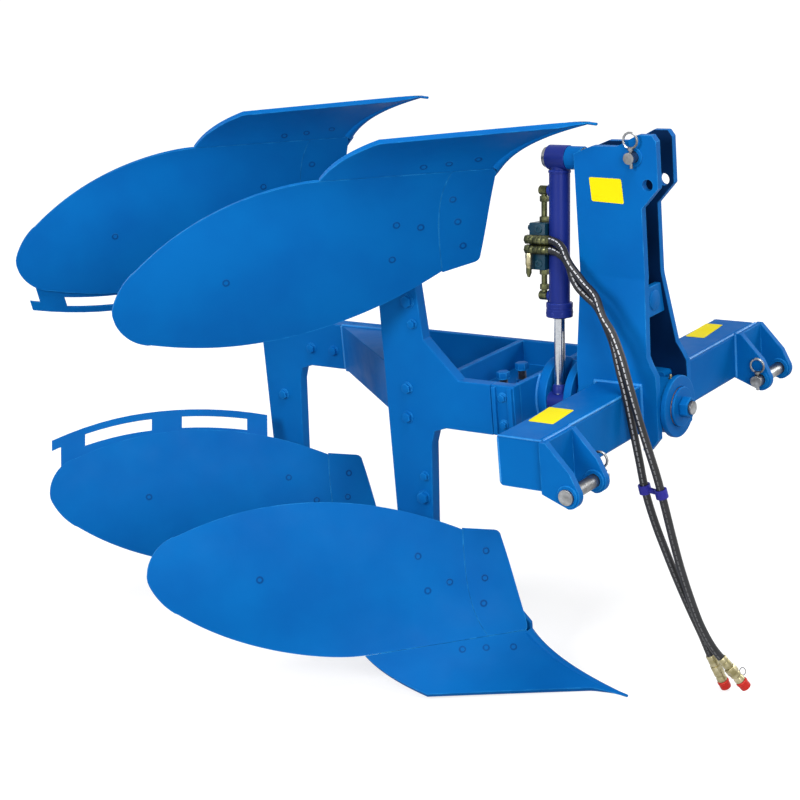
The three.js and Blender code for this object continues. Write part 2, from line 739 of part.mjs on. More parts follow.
// Edges of the mouldboard: a long crest above, a belly below and a rounded tail
function tailFactor(s) {
  const into = Math.max(0, (s - (mouldboardLength - tailRound)) / tailRound);
  return Math.sqrt(Math.max(0, 1 - into * into));
}
function crestEdge(s) {
  const span = s < crestPlace ? crestPlace - mouldboardFront : mouldboardLength - crestPlace;
  const fall = s < crestPlace ? crestFrontFall : crestRearFall;
  const edge = crestHeight - fall * ((s - crestPlace) / span) ** 2;
  return Math.max(tailHeight + (edge - tailHeight) * tailFactor(s), tailHeight + tailHalf);
}
function bellyEdge(s) {
  const along = Math.max(0, (s - bellyStart) / (mouldboardLength - bellyStart));
  const edge = shareSeamRear + bellyRise * along * along;
  const round = tailHeight + (edge - tailHeight) * tailFactor(s);
  return Math.max(seamHeight(s) + seat, Math.min(round, tailHeight - tailHalf));
}
function seamHeight(s) {
  return shareSeam + (shareSeamRear - shareSeam) * Math.min(1, s / shareLength);
}
function shareEdge(s) {
  if (s < shareNoseLength) return (shareNoseHeight * s) / shareNoseLength;
  const along = (s - shareNoseLength) / (shareLength - shareNoseLength);
  return shareNoseHeight + (shareWingHeight - shareNoseHeight) * along;
}

// Each maker gives the piece itself, or, with depths and a margin, the room it takes
function makeMouldboard(near = 0, far = mouldboardThickness, margin = 0) {
  const tailStart = mouldboardLength - tailRound;
  const front = spaced(mouldboardFront - margin, bellyStart, 5);
  const middle = spaced(bellyStart, tailStart, 6).slice(1);
  const tail = tailPlaceShares.map((share) => tailStart + tailRound * share);
  return surfacePlate([...front, ...middle, ...tail], (s) => bellyEdge(s) - margin, crestEdge, near, far, 7);
}

const bowShare = (rise) => 4 * rise * (1 - rise);
function makeShin(near = 0, far = mouldboardThickness, margin = 0) {
  const low = (s) => seamHeight(s) + seat - margin;
  const bow = (s, rise) => shinBow * bowShare(rise) * (1 - s / shinWidth);
  return surfacePlate(spaced(-margin, shinWidth + margin, 3), low, () => shinTop, near, far, 7, bow);
}

// The share's underside is cut level, where it stands on the ground
function makeShare(near = 0, far = shareThickness, margin = 0) {
  const places = [-margin, shareNoseLength / 2, ...spaced(shareNoseLength, shareLength, 6)];
  const bow = (s, rise) => shareBow * bowShare(rise) * (1 - Math.max(0, s) / shareLength);
  const low = (s) => shareEdge(Math.max(0, s));
  const plate = surfacePlate(places, low, (s) => seamHeight(s) + margin, near, far, 6, bow);
  const ground = -axisHeight;
  const above = block([legRear, -mouldboardLength, ground], [0, mouldboardLength, 0]);
  return plate.intersect(above);
}

// Frog: the upright plate on the standard, the saddle behind the surfaces and the stay to the tail
function makeFrog() {
  const ground = -axisHeight;
  const behind = Math.min(shareThickness, mouldboardThickness);
  const near = standardFarFace + seat;
  const far = near + frogThickness;
  const front = spaced(frogBottom, frogTop, 6).map((h) => [surfacePoint(0, h).x - frogSetBack, ground + h]);
  const upright = sidePlate([...front, [frogRear, ground + frogTop], [frogRear, ground + frogTop / 2],
    [frogHeel, ground + frogBottom]], near, far);
  const saddle = surfacePlate(spaced(saddleFrom, saddleTo, 3), () => saddleBottom, () => saddleTop,
    behind, shareThickness + seat + saddleThickness, 3);
  const pad = surfacePlate(spaced(stayPlace - stayPad, stayPlace + stayPad, 1), () => stayHeight - stayPad,
    () => stayHeight + stayPad, behind, mouldboardThickness + seat + saddleThickness, 1);
  const tie = behindSurface(stayPlace, stayHeight, mouldboardThickness + saddleThickness);
  const stay = bar([stayRootX, near + stayRadius, ground + stayRoot], tie.toArray(), stayRadius, 10);
  const room = [
    makeMouldboard(-frogThickness, mouldboardThickness + plateRoom, plateRoom),
    makeShin(-frogThickness, mouldboardThickness + shinRoom, shinRoom),
    makeShare(-frogThickness, shareThickness + plateRoom, plateRoom),
  ];
  return cut(join(upright, saddle, pad, stay), ...room);
}

// Landside: the bar that runs along the furrow wall
function makeLandside() {
  const low = landsideBottom - axisHeight;
  const high = landsideTop - axisHeight;
  const near = standardFarFace + seat + frogThickness + seat;
  const toe = (landsideTop - landsideBottom) / 2;
  const outline = [
    [landsideFront, low + toe], [landsideFront - toe, high], [landsideRear + toe, high],
    [landsideRear, high - toe], [landsideRear, low], [landsideFront, low],
  ];
  return sidePlate(outline, near, near + landsideThickness);
}

// Strip above the crest edge, held by lugs behind the mouldboard with open slots between them
function makeStrip() {
  const depth = mouldboardThickness + stripSetBack;
  const outer = (s) => {
    const span = s < stripPlace ? stripPlace - stripFrom : stripTo - stripPlace;
    const fall = s < stripPlace ? stripFrontFall : stripRearFall;
    return stripHeight - fall * ((s - stripPlace) / span) ** 2;
  };
  const inner = (s) => crestEdge(s) - stripLap;
  const plate = surfacePlate(spaced(stripFrom, stripTo, 14), inner, outer, depth, depth + stripThickness, 1);
  const window = (from, to, low, high) => surfacePlate(spaced(from, to, 5), low, high,
    depth - overrun, depth + stripThickness + overrun, 1);
  const slotTop = (s) => outer(s) - stripRail;
  const slots = slotSpans.map(([from, to]) => window(from, to, (s) => slotTop(s) - slotHeight, slotTop));
  const neckTop = (s) => outer(s) - stripTailDepth;
  const neckRoom = window(stripNeck, stripTo + overrun, (s) => inner(s) - stripTailDepth, neckTop);
  return cut(plate, ...slots, neckRoom);
}

// Four bodies: right-hand ones below, and their mirror images above
const bodyPieces = {
  share: makeShare(),
  shin: makeShin(),
  mouldboard: makeMouldboard(),
  frog: makeFrog(),
  landside: makeLandside(),
};
const stripSolid = makeStrip();
for (const [row, group] of [["front", turningFrame], ["rear", rearStep]]) {
  for (const [piece, solid] of Object.entries(bodyPieces)) {
    add(group, `${row}_lower_${piece}`, solid, paint);
    add(group, `${row}_upper_${piece}`, mirrored(solid, "z"), paint);
  }
}
add(rearStep, "rear_lower_strip", stripSolid, paint);
add(rearStep, "rear_upper_strip", mirrored(stripSolid, "z"), paint);

// Cylinder: everything here hangs from the pivot, down -Z
function makeBarrel() {
  const eye = bar([-cylinderEyeWidth / 2, 0, 0], [cylinderEyeWidth / 2, 0, 0], cylinderEyeRadius);
  const body = bar([0, 0, -barrelEnd], [0, 0, -barrelTop], barrelRadius, 28);
  const gland = bar([0, 0, -barrelEnd], [0, 0, -barrelEnd + glandLength], glandRadius, 28);
  const neck = bar([0, 0, -barrelTop - overrun], [0, 0, -barrelTop / 2], barrelNeckRadius, 20);
  const eyeHole = bar([-cylinderEyeWidth, 0, 0], [cylinderEyeWidth, 0, 0], cylinderPinRadius + seat);
  const bore = bar([0, 0, -barrelEnd + glandLength], [0, 0, -barrelTop - barrelHead], barrelBore, 24);
  const glandTop = -barrelEnd + glandLength;
  const glandHole = bar([0, 0, -barrelEnd - overrun], [0, 0, glandTop + overrun], rodRadius + seat, 20);
  return cut(join(body, gland, neck, eye), eyeHole, bore, glandHole);
}
add(cylinder, "cylinder_barrel", makeBarrel(), cylinderPaint);

function makeRod() {
  const pistonLow = -barrelEnd + glandLength + seat;
  const piston = bar([0, 0, pistonLow], [0, 0, pistonLow + pistonLength], barrelBore - seat, 24);
  const shank = bar([0, 0, -rodReach], [0, 0, pistonLow + pistonLength], rodRadius, 20);
  const half = crankSlotWidth / 2 - seat;
  const eye = bar([-half, 0, -rodReach], [half, 0, -rodReach], rodEyeRadius, 24);
  return join(piston, shank, eye);
}
add(cylinder, "cylinder_rod", makeRod(), chrome);

// Valve block behind the barrel, with a pipe to each end of it and the two hose ports on its near side
const valveFront = -barrelRadius - seat;
const valveRear = valveFront - valveDepth;
const pipeX = valveFront - pipeSetBack;
const hosePortY = -valveWidth / 2 - hosePortRadius - hosePortStandOff;
const hosePortFront = valveRear + hosePortLength;
function makeValve() {
  const w = valveWidth / 2;
  const body = block([valveRear, -w, -valveBottom], [valveFront, w, -valveTop]);
  const pipeRuns = [[-valveTop - overrun, -upperPortDrop], [-valveBottom + overrun, -lowerPortDrop]];
  const pipes = pipeRuns.flatMap(([from, to]) => [
    bar([pipeX, 0, from], [pipeX, 0, to], pipeRadius, 12),
    bar([pipeX - portCollarRadius, 0, to], [valveFront, 0, to], portCollarRadius, hexagon),
  ]);
  const neckX = valveRear + hosePortRadius;
  const ports = [-hosePortDrop, -hosePortDrop - hosePortRise].flatMap((z) => [
    bar([valveRear, hosePortY, z], [hosePortFront, hosePortY, z], hosePortRadius - seat, hexagon),
    bar([neckX, hosePortY, z], [neckX, 0, z], hosePortNeckRadius, 12),
  ]);
  const spindleX = valveRear + spindleRadius;
  const spindleTop = -hosePortDrop - hosePortRise;
  const spindleEnd = spindleTop - spindleLength;
  const spindleStart = [spindleX, hosePortY, spindleTop];
  const spindle = bar([spindleX, hosePortY, spindleEnd], spindleStart, spindleRadius, 12);
  return join(body, ...pipes, ...ports, spindle);
}
add(cylinder, "valve_block", makeValve(), valvePaint);

// Hoses from the ports over the right arm of the crossbar and down to the ground in front
const upperHosePoints = [
  [-261, -64, 368], [-244, -74, 359], [-228, -88, 344], [-214, -95, 329], [-193, -98, 307],
  [-177, -103, 293], [-141, -119, 271], [-109, -145, 233], [-83, -153, 202], [-57, -165, 156],
  [-37, -173, 100], [-18, -175, 32], [-2, -167, -40], [13, -157, -113], [24, -147, -187],
  [33, -136, -260], [44, -125, -334], [60, -116, -406], [76, -103, -473], [96, -88, -528],
];
const lowerHosePoints = [
  [-260, -63, 345], [-243, -68, 335], [-229, -76, 322], [-215, -87, 301], [-199, -92, 280],
  [-179, -94, 263], [-150, -99, 242], [-111, -119, 193], [-89, -138, 167], [-68, -155, 119],
  [-51, -161, 62], [-41, -158, -7], [-34, -149, -81], [-28, -139, -156], [-15, -128, -229],
  [4, -118, -300], [24, -106, -372], [45, -93, -442], [63, -76, -508], [74, -59, -564],
];
const upperHoseEnd = [125, -66, -581];
const lowerHoseEnd = [81, -50, -592];
const clampHeight = -152;

function hoseCurve(drop, points, end) {
  cylinder.updateMatrix();
  const starts = [hosePortFront + seat, hosePortFront + hosePortLength].map(
    (x) => new THREE.Vector3(x, hosePortY, -hosePortDrop - drop).applyMatrix4(cylinder.matrix));
  const rest = [...points, end].map((p) => new THREE.Vector3(...p));
  return new THREE.CatmullRomCurve3([...starts, ...rest], false, "centripetal");
}

function makeHose(curve) {
  const section = new THREE.Shape(Array.from({ length: hoseSides }, (_, i) => {
    const turn = (i * 2 * Math.PI) / hoseSides;
    return new THREE.Vector2(hoseRadius * Math.cos(turn), hoseRadius * Math.sin(turn));
  }));
  const path = { steps: hoseSteps, extrudePath: curve, bevelEnabled: false };
  return solidOf(new THREE.ExtrudeGeometry(section, path));
}

// Coupler and dust cap in line with the hose's end
function endPieces(curve) {
  const end = curve.getPoint(1);
  const along = curve.getTangent(1);
  const at = (reach) => end.clone().addScaledVector(along, reach).toArray();
  const nutEnd = seat + couplerNutLength;
  const couplerEnd = seat + couplerLength;
  const nut = bar(at(seat), at(nutEnd), couplerNutRadius, hexagon);
  const coupler = join(nut, bar(at(seat), at(couplerEnd), couplerRadius, 16));
  const cap = bar(at(couplerEnd + seat), at(couplerEnd + seat + capLength), capRadius, 16);
  return { coupler, cap };
}

const hoseRuns = [
  ["upper", 0, upperHosePoints, upperHoseEnd],
  ["lower", hosePortRise, lowerHosePoints, lowerHoseEnd],
];
const hoseSolids = hoseRuns.map(([name, drop, points, end]) => {
  const curve = hoseCurve(drop, points, end);
  const solid = makeHose(curve);
  const { coupler, cap } = endPieces(curve);
  add(hoses, `${name}_hose`, solid, rubber);
  add(hoses, `${name}_hose_coupler`, coupler, steel);
  add(hoses, `${name}_hose_cap`, cap, capRed);
  return { curve, solid };
});

// Clamp: a ring round each hose where it passes one height, and the bridge between them
function makeHoseClamp() {
  const miss = (place) => Math.abs(place.at.z - clampHeight);
  const rings = hoseSolids.map(({ curve }) => {
    const shares = spaced(0, 1, hoseSteps * hoseSides);
    const run = shares.map((t) => ({ at: curve.getPointAt(t), along: curve.getTangentAt(t) }));
    return run.reduce((best, place) => (miss(place) < miss(best) ? place : best));
  });
  const through = ({ at, along }, length, radius) => {
    const step = along.clone().multiplyScalar(length / 2);
    return bar(at.clone().sub(step).toArray(), at.clone().add(step).toArray(), radius, 16);
  };
  const shells = rings.map((ring) => through(ring, clampLength, hoseRadius + clampWall));
  const bridge = bar(rings[0].at.toArray(), rings[1].at.toArray(), clampLength / 3, 8);
  const room = rings.map((ring) => through(ring, clampLength * 2, hoseRadius + clampRoom));
  return cut(join(...shells, bridge), ...room);
}
add(hoses, "hose_clamp", makeHoseClamp(), clampBlue);

// The origin is the middle between the lower hitch points, where the tractor holds the plough
plough.position.z = hitchDrop;

export default plough;
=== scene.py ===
# %% [markdown]
# # A reversible plough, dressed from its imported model
# The plough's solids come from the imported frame, at their real size and in their real place. This script
# gives them paint, steel and rubber, adds the small pieces that the solids leave out, such as bolts, weld
# beads and labels, and lights the whole for a picture. Nothing here moves or resizes a solid.

# %% Load the frame
import json
import math
import bmesh
import bpy
from mathutils import Matrix, Vector
from mathutils.bvhtree import BVHTree

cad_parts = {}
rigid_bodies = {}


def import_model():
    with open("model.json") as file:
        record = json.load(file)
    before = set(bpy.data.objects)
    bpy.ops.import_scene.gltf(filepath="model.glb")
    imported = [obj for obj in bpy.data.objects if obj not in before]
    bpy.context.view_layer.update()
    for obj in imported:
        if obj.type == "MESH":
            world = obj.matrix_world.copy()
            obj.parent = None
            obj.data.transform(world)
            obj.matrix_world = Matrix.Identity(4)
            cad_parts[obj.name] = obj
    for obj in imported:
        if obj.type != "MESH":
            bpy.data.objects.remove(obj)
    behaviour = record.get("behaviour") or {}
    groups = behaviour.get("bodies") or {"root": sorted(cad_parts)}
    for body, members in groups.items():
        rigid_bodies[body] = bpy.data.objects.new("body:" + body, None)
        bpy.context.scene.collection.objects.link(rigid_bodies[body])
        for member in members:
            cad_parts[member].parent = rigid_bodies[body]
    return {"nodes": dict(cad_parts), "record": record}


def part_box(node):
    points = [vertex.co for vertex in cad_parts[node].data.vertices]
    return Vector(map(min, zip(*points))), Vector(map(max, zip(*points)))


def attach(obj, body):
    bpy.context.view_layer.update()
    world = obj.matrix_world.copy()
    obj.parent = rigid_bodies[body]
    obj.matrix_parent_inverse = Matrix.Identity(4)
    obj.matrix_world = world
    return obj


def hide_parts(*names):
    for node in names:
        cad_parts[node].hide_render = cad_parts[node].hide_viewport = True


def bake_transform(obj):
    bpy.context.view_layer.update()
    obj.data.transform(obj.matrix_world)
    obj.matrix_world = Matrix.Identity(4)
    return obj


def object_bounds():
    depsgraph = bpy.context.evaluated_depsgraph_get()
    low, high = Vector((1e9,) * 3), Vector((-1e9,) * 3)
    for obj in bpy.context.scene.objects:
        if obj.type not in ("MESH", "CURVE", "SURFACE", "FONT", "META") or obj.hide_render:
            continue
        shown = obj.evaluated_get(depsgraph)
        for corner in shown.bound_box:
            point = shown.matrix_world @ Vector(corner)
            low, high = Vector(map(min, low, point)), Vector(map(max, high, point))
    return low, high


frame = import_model()
cad_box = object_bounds()
scene = bpy.context.scene
behaviour = frame["record"]["behaviour"]
body_of_node = {node: body for body, nodes in behaviour["bodies"].items() for node in nodes}
print("solids:", len(frame["nodes"]), "box:", [[round(v, 3) for v in corner] for corner in cad_box])

# %% [markdown]
# Places are easiest to read in millimetres, measured from the lower hitch pins and from the axis on which
# the plough turns over. The hub tube lies on that axis, so its box gives the axis's height.

# %% A place in millimetres from the hitch line and the turnover axis
MM = 0.001
hub_low, hub_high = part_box("hub_tube")
axis_z = (hub_low.z + hub_high.z) / 2


def place(x, y, z):
    return Vector((x * MM, y * MM, z * MM + axis_z))


print("turnover axis at", round(axis_z, 4))

# %% [markdown]
# ## Camera
# The photograph was taken from ahead of the plough on its right-hand side, a little above it, with the
# camera tipped slightly. A long lens keeps the far mouldboards nearly as large as the near ones. The three
# directions below are the camera's right, up and backward axes, worked out from the turn, tilt and roll.

# %% Camera
camera_place = place(1890, -3469, 1233)
camera_turn = math.radians(37.7)
camera_tilt = math.radians(16.5)
camera_roll = math.radians(-5.0)
focal_pixels, picture_pixels = 1843, 800
centre_rise_pixels = -2
sensor_width = 36


def make_camera():
    level = Vector((math.cos(camera_turn), math.sin(camera_turn), 0))
    forward = Vector((-math.sin(camera_turn) * math.cos(camera_tilt),
                      math.cos(camera_turn) * math.cos(camera_tilt), -math.sin(camera_tilt)))
    upward = level.cross(forward)
    right = level * math.cos(camera_roll) + upward * math.sin(camera_roll)
    up = upward * math.cos(camera_roll) - level * math.sin(camera_roll)
    data = bpy.data.cameras.new("camera")
    data.sensor_width = sensor_width
    data.lens = focal_pixels / picture_pixels * sensor_width
    data.shift_y = centre_rise_pixels / picture_pixels
    camera = bpy.data.objects.new("camera", data)
    camera.matrix_world = Matrix((right, up, -forward)).transposed().to_4x4()
    camera.location = camera_place
    scene.collection.objects.link(camera)
    scene.camera = camera
    return camera


camera = make_camera()
print("lens:", round(camera.data.lens, 1), "mm")

# %% [markdown]
# ## Wiring a shader
# A material is a small network of nodes. One helper adds a node, sets its options and feeds its inputs,
# each from a number, a colour or another node's output. The others name the few nodes that the plough's
# finishes are made of.

# %% Wiring helpers


def feed(tree, source, target):
    if isinstance(source, (int, float)):
        target.default_value = source
    elif isinstance(source, tuple):
        target.default_value = source if len(source) == len(target.default_value) else (*source, 1)
    else:
        tree.links.new(source, target)


def wired(tree, kind, inputs, output, **options):
    node = tree.nodes.new(f"ShaderNode{kind}")
    for option, value in options.items():
        setattr(node, option, value)
    for title, source in inputs.items():
        feed(tree, source, node.inputs[title])
    return node.outputs[output]


def noise(tree, coordinates, scale, detail):
    return wired(tree, "TexNoise", {"Vector": coordinates, "Scale": scale, "Detail": detail}, "Fac")


def spread(tree, value, low, high, to_low, to_high):
    limits = {"From Min": low, "From Max": high, "To Min": to_low, "To Max": to_high}
    return wired(tree, "MapRange", {"Value": value, **limits}, "Result")


def mix_colour(tree, share, first, second):
    return wired(tree, "Mix", {"Factor": share, "A": first, "B": second}, "Result", data_type="RGBA")


def calculate(tree, operation, first, second=0):
    return wired(tree, "Math", {0: first, 1: second}, "Value", operation=operation)


def bumped(tree, height, strength, distance):
    return wired(tree, "Bump", {"Height": height, "Strength": strength, "Distance": distance}, "Normal")


def on_object(tree):
    return wired(tree, "TexCoord", {}, "Object")


print("wiring helpers ready")

# %% [markdown]
# ## Shared shader groups
# Paint and steel show the same few things up close: faint cloudiness of colour and gloss, a fine grain,
# and corners where the coat is rubbed thin; on paint the lighter corners are also a painted edge highlight.
# Each group has named inputs and is built once. The groups read Object coordinates, so the pattern stays with the
# piece when the frame turns over.

# %% Start a group
grey = (0.5, 0.5, 0.5)


def start_group(name, inputs):
    group = bpy.data.node_groups.new(name, "ShaderNodeTree")
    for title, value in inputs.items():
        kind = "NodeSocketColor" if isinstance(value, tuple) else "NodeSocketFloat"
        made = group.interface.new_socket(name=title, in_out="INPUT", socket_type=kind)
        made.default_value = (*value, 1) if isinstance(value, tuple) else value
    for title, kind in (("Colour", "Color"), ("Roughness", "Float"), ("Normal", "Vector")):
        group.interface.new_socket(name=title, in_out="OUTPUT", socket_type=f"NodeSocket{kind}")
    return group, group.nodes.new("NodeGroupInput").outputs, group.nodes.new("NodeGroupOutput").inputs


print("every group puts out a colour, a roughness and a normal")

# %% [markdown]
# Sprayed enamel on plate is never one flat blue. Where it went on thick it is darker and glossier, and the
# surface has the fine ripple that painters call orange peel. One noise at the size of a hand gives the
# clouds, and one at the size of a grain of rice gives the ripple. Along corners the coat is thin and rubbed,
# and a Bevel node finds those corners: its rounded normal leans away from the true one only there. The
# lighter colour put on those corners is partly rubbed paint and partly a painted highlight along the edges.

# %% Group: cloudy colour, gloss, rubbed corners with a painted edge highlight, and ripple of a coat of paint
coat_inputs = {"Colour": grey, "Thick Colour": grey, "Rubbed And Highlight Colour": grey, "Gloss": 0.35, "Ripple": 0.1}
corner_radius = 0.003
peel_depth = 0.0012


def coat_group():
    group, given, result = start_group("sprayed coat", coat_inputs)
    where = on_object(group)
    clouds = spread(group, noise(group, where, 5.5, 3), 0.35, 0.65, 0, 1)
    tone = mix_colour(group, clouds, given["Colour"], given["Thick Colour"])
    true_normal = wired(group, "NewGeometry", {}, "Normal")
    rounded = wired(group, "Bevel", {"Radius": corner_radius}, "Normal", samples=4)
    lean = wired(group, "VectorMath", {0: rounded, 1: true_normal}, "Value", operation="DOT_PRODUCT")
    corner = spread(group, lean, 0.995, 0.93, 0, 1)
    patches = spread(group, noise(group, where, 34, 4), 0.42, 0.62, 0.15, 0.85)
    # Corners get the lighter colour: partly rubbed paint, partly a painted edge highlight.
    rubbed_and_highlight = calculate(group, "MULTIPLY", corner, patches)
    feed(group, mix_colour(group, rubbed_and_highlight, tone, given["Rubbed And Highlight Colour"]), result["Colour"])
    dull = spread(group, noise(group, where, 14, 3), 0.3, 0.7, -0.06, 0.1)
    feed(group, calculate(group, "ADD", given["Gloss"], dull), result["Roughness"])
    peel = calculate(group, "ADD", noise(group, where, 240, 2), noise(group, where, 30, 2))
    feed(group, bumped(group, peel, given["Ripple"], peel_depth), result["Normal"])
    return group


sprayed_coat = coat_group()
print("group:", sprayed_coat.name)

# %% [markdown]
# Turned and drawn steel carries fine lines and a dull bloom. The same group serves the pins, the screws
# and the hose couplers: it stretches a noise along one axis to get the lines.

# %% Group: fine lines and bloom of bare metal
metal_inputs = {"Bright": grey, "Dull": grey, "Roughness": 0.35}
line_stretch, line_depth = (1, 1, 14), 0.0004


def metal_group():
    group, given, result = start_group("worked metal", metal_inputs)
    where = on_object(group)
    stretched = wired(group, "Mapping", {"Vector": where, "Scale": line_stretch}, "Vector")
    bloom = noise(group, where, 45, 3)
    share = spread(group, bloom, 0.35, 0.65, 0, 1)
    feed(group, mix_colour(group, share, given["Bright"], given["Dull"]), result["Colour"])
    stain = spread(group, bloom, 0.3, 0.7, -0.08, 0.12)
    feed(group, calculate(group, "ADD", given["Roughness"], stain), result["Roughness"])
    feed(group, bumped(group, noise(group, stretched, 60, 3), 0.35, line_depth), result["Normal"])
    return group


worked_metal = metal_group()
print("group:", worked_metal.name)

# %% [markdown]
# ## Materials
# Colours are written as they look on the plough, in the usual 0 to 255 steps, and turned into the linear
# values that the shader wants. Each finish keeps its own Principled shader, with plain gloss values on it,
# and remembers the slot of the record that it stands for.

# %% Material helpers
slot_of = {}


def linear(colour):
    shares = [step / 255 for step in colour]
    return tuple(s / 12.92 if s <= 0.04045 else ((s + 0.055) / 1.055) ** 2.4 for s in shares)


def start_material(name):
    material = bpy.data.materials.new(name)
    material.use_nodes = True
    return material, material.node_tree, material.node_tree.nodes["Principled BSDF"].inputs


def grouped(name, slot, group, values):
    material, tree, surface = start_material(name)
    slot_of[name] = slot
    effect = tree.nodes.new("ShaderNodeGroup")
    effect.node_tree = group
    for title, value in values.items():
        feed(tree, value, effect.inputs[title])
    for source, target in (("Colour", "Base Color"), ("Roughness", "Roughness"), ("Normal", "Normal")):
        feed(tree, effect.outputs[source], surface[target])
    return material, surface


def painted(name, slot, colour, thick, rubbed_and_highlight, gloss, ripple=0.12, level=0.3):
    colours = {"Colour": linear(colour), "Thick Colour": linear(thick), "Rubbed And Highlight Colour": linear(rubbed_and_highlight)}
    material, surface = grouped(name, slot, sprayed_coat, {**colours, "Gloss": gloss, "Ripple": ripple})
    surface["Specular IOR Level"].default_value = level
    return material


def bare_metal(name, slot, bright, dull, roughness):
    values = {"Bright": linear(bright), "Dull": linear(dull), "Roughness": roughness}
    material, surface = grouped(name, slot, worked_metal, values)
    surface["Metallic"].default_value = 1
    return material


print("middle grey is", round(linear([128])[0], 3), "in linear light")

# %% [markdown]
# The plough's own blue is a strong, slightly greenish blue that turns navy in shade. The cylinder is a
# more violet blue, the valve is dark teal and its fittings have the dull yellow of zinc plating.

# %% Painted finishes
# The third colour of each paint is its corner colour, lighter than the rest: partly rubbed paint, partly a painted
# edge highlight.
frame_blue = painted("frame blue paint", "frame_paint", (2, 98, 171), (2, 90, 163), (40, 142, 210), 0.5, level=0.05)
# A darker blue for the plough bolt heads: painted shade in their dished heads.
bolt_head_shade_blue = painted("bolt head painted shade paint", "frame_paint", (2, 72, 138), (2, 60, 120), (30, 116, 186), 0.5, level=0.05)
# A lighter blue for the weld beads: a painted highlight along them.
bead_highlight_blue = painted("bead painted highlight paint", "frame_paint", (34, 132, 206), (10, 106, 182), (96, 180, 232), 0.32)
# Painted shade: a dark blue for the faces inside the gap of the mast.
mast_gap_shade_blue = painted("mast gap painted shade", "frame_paint", (4, 40, 84), (2, 28, 62), (20, 80, 140), 0.55, level=0.05)
label_yellow = painted("label yellow", "frame_paint", (238, 222, 6), (230, 212, 4), (236, 222, 40), 0.5, 0.03, 0.1)
cylinder_blue = painted("cylinder blue paint", "cylinder_paint", (24, 42, 122), (20, 36, 110), (52, 72, 160), 0.35,
                        level=0.15)
valve_teal = painted("valve teal paint", "valve_paint", (8, 62, 82), (5, 44, 62), (24, 84, 100), 0.42)
cap_red = painted("dust cap red", "cap_red", (196, 36, 24), (178, 28, 18), (206, 60, 46), 0.45, 0.05)
clamp_blue = painted("clamp blue plastic", "clamp_plastic", (40, 40, 150), (34, 34, 132), (60, 60, 168), 0.45)
print("painted finishes:", len(slot_of))

# %% [markdown]
# The metals differ in tone and in how sharply they reflect. Chrome is nearly a mirror, a hitch pin is dull
# from use, and the two tones of zinc are the pale and the olive plating of hydraulic fittings.

# %% Metal finishes
pin_steel = bare_metal("pin steel", "steel", (150, 152, 154), (104, 104, 104), 0.34)
dark_steel = bare_metal("oiled steel", "steel", (112, 116, 126), (70, 74, 84), 0.38)
zinc = bare_metal("yellow zinc", "steel", (186, 178, 146), (132, 124, 88), 0.36)
dark_zinc = bare_metal("olive zinc", "steel", (104, 106, 74), (58, 62, 42), 0.4)
chrome = bare_metal("hard chrome", "chrome", (196, 200, 206), (176, 180, 186), 0.14)
bronze = bare_metal("bush bronze", "bronze", (170, 128, 72), (140, 100, 52), 0.4)
print("all finishes:", len(slot_of))

# %% [markdown]
# Hydraulic hose is smooth black rubber over steel braid. The photograph shows a broken white line along
# each hose. Here it is drawn as printed dashes that are also a painted highlight: they sit on one side of the
# hose and fade further down it. Dashes follow the hose, so this material reads the hose's own UV map: U runs
# along it in metres, and V once round it.

# %% Hose rubber with its dashes, which are also a painted highlight
dash_spacing, dash_share = 0.013, 0.75
dash_highlight_fade = (0.35, 0.7)
dash_ring = (0.355, 0.405)


def hose_rubber():
    material, tree, surface = start_material("hose rubber")
    slot_of[material.name] = "rubber"
    uv = wired(tree, "UVMap", {}, "UV", uv_map="hose")
    along = wired(tree, "SeparateXYZ", {"Vector": uv}, "X")
    around = wired(tree, "SeparateXYZ", {"Vector": uv}, "Y")
    cycle = calculate(tree, "FRACT", calculate(tree, "DIVIDE", along, dash_spacing))
    dashes_and_highlight = calculate(tree, "LESS_THAN", cycle, dash_share)
    dashes_and_highlight = calculate(tree, "MULTIPLY", dashes_and_highlight, calculate(tree, "GREATER_THAN", around, dash_ring[0]))
    dashes_and_highlight = calculate(tree, "MULTIPLY", dashes_and_highlight, calculate(tree, "LESS_THAN", around, dash_ring[1]))
    # The dashes fade further down the hose, as a painted highlight.
    dashes_and_highlight = calculate(tree, "MULTIPLY", dashes_and_highlight, spread(tree, along, *dash_highlight_fade, 1, 0.15))
    where = on_object(tree)
    dusty = spread(tree, noise(tree, where, 30, 3), 0.4, 0.7, 0, 1)
    black = mix_colour(tree, dusty, linear((16, 17, 20)), linear((30, 31, 36)))
    feed(tree, mix_colour(tree, dashes_and_highlight, black, linear((190, 192, 196))), surface["Base Color"])
    feed(tree, spread(tree, noise(tree, where, 60, 2), 0.3, 0.7, 0.42, 0.6), surface["Roughness"])
    feed(tree, bumped(tree, noise(tree, where, 420, 2), 0.3, 0.0005), surface["Normal"])
    surface["Specular IOR Level"].default_value = 0.4
    return material


rubber = hose_rubber()
print("dashes every", dash_spacing / MM, "mm")

# %% [markdown]
# ## Making a piece
# Each small form, such as a nut or a turned collar, is made in a bmesh of its own, lying on the Z axis.
# Then it is moved to its place and copied into the shape of the piece it belongs to. A finished piece is
# one object at the origin, which rides on one of the frame's bodies, or on none, and carries its finish as its
# material.

# %% Piece helpers
smooth_to = math.radians(35)
as_made = Matrix.Identity(4)


def finish_piece(name, shape, finish, body, replaced=(), smooth_angle=smooth_to):
    mesh = bpy.data.meshes.new(name)
    shape.to_mesh(mesh)
    shape.free()
    mesh.polygons.foreach_set("use_smooth", [True] * len(mesh.polygons))
    mesh.set_sharp_from_angle(angle=smooth_angle)
    mesh.materials.append(finish)
    piece = bpy.data.objects.new(name, mesh)
    scene.collection.objects.link(piece)
    if body:
        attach(piece, body)
    if replaced:
        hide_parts(*replaced)
    return piece


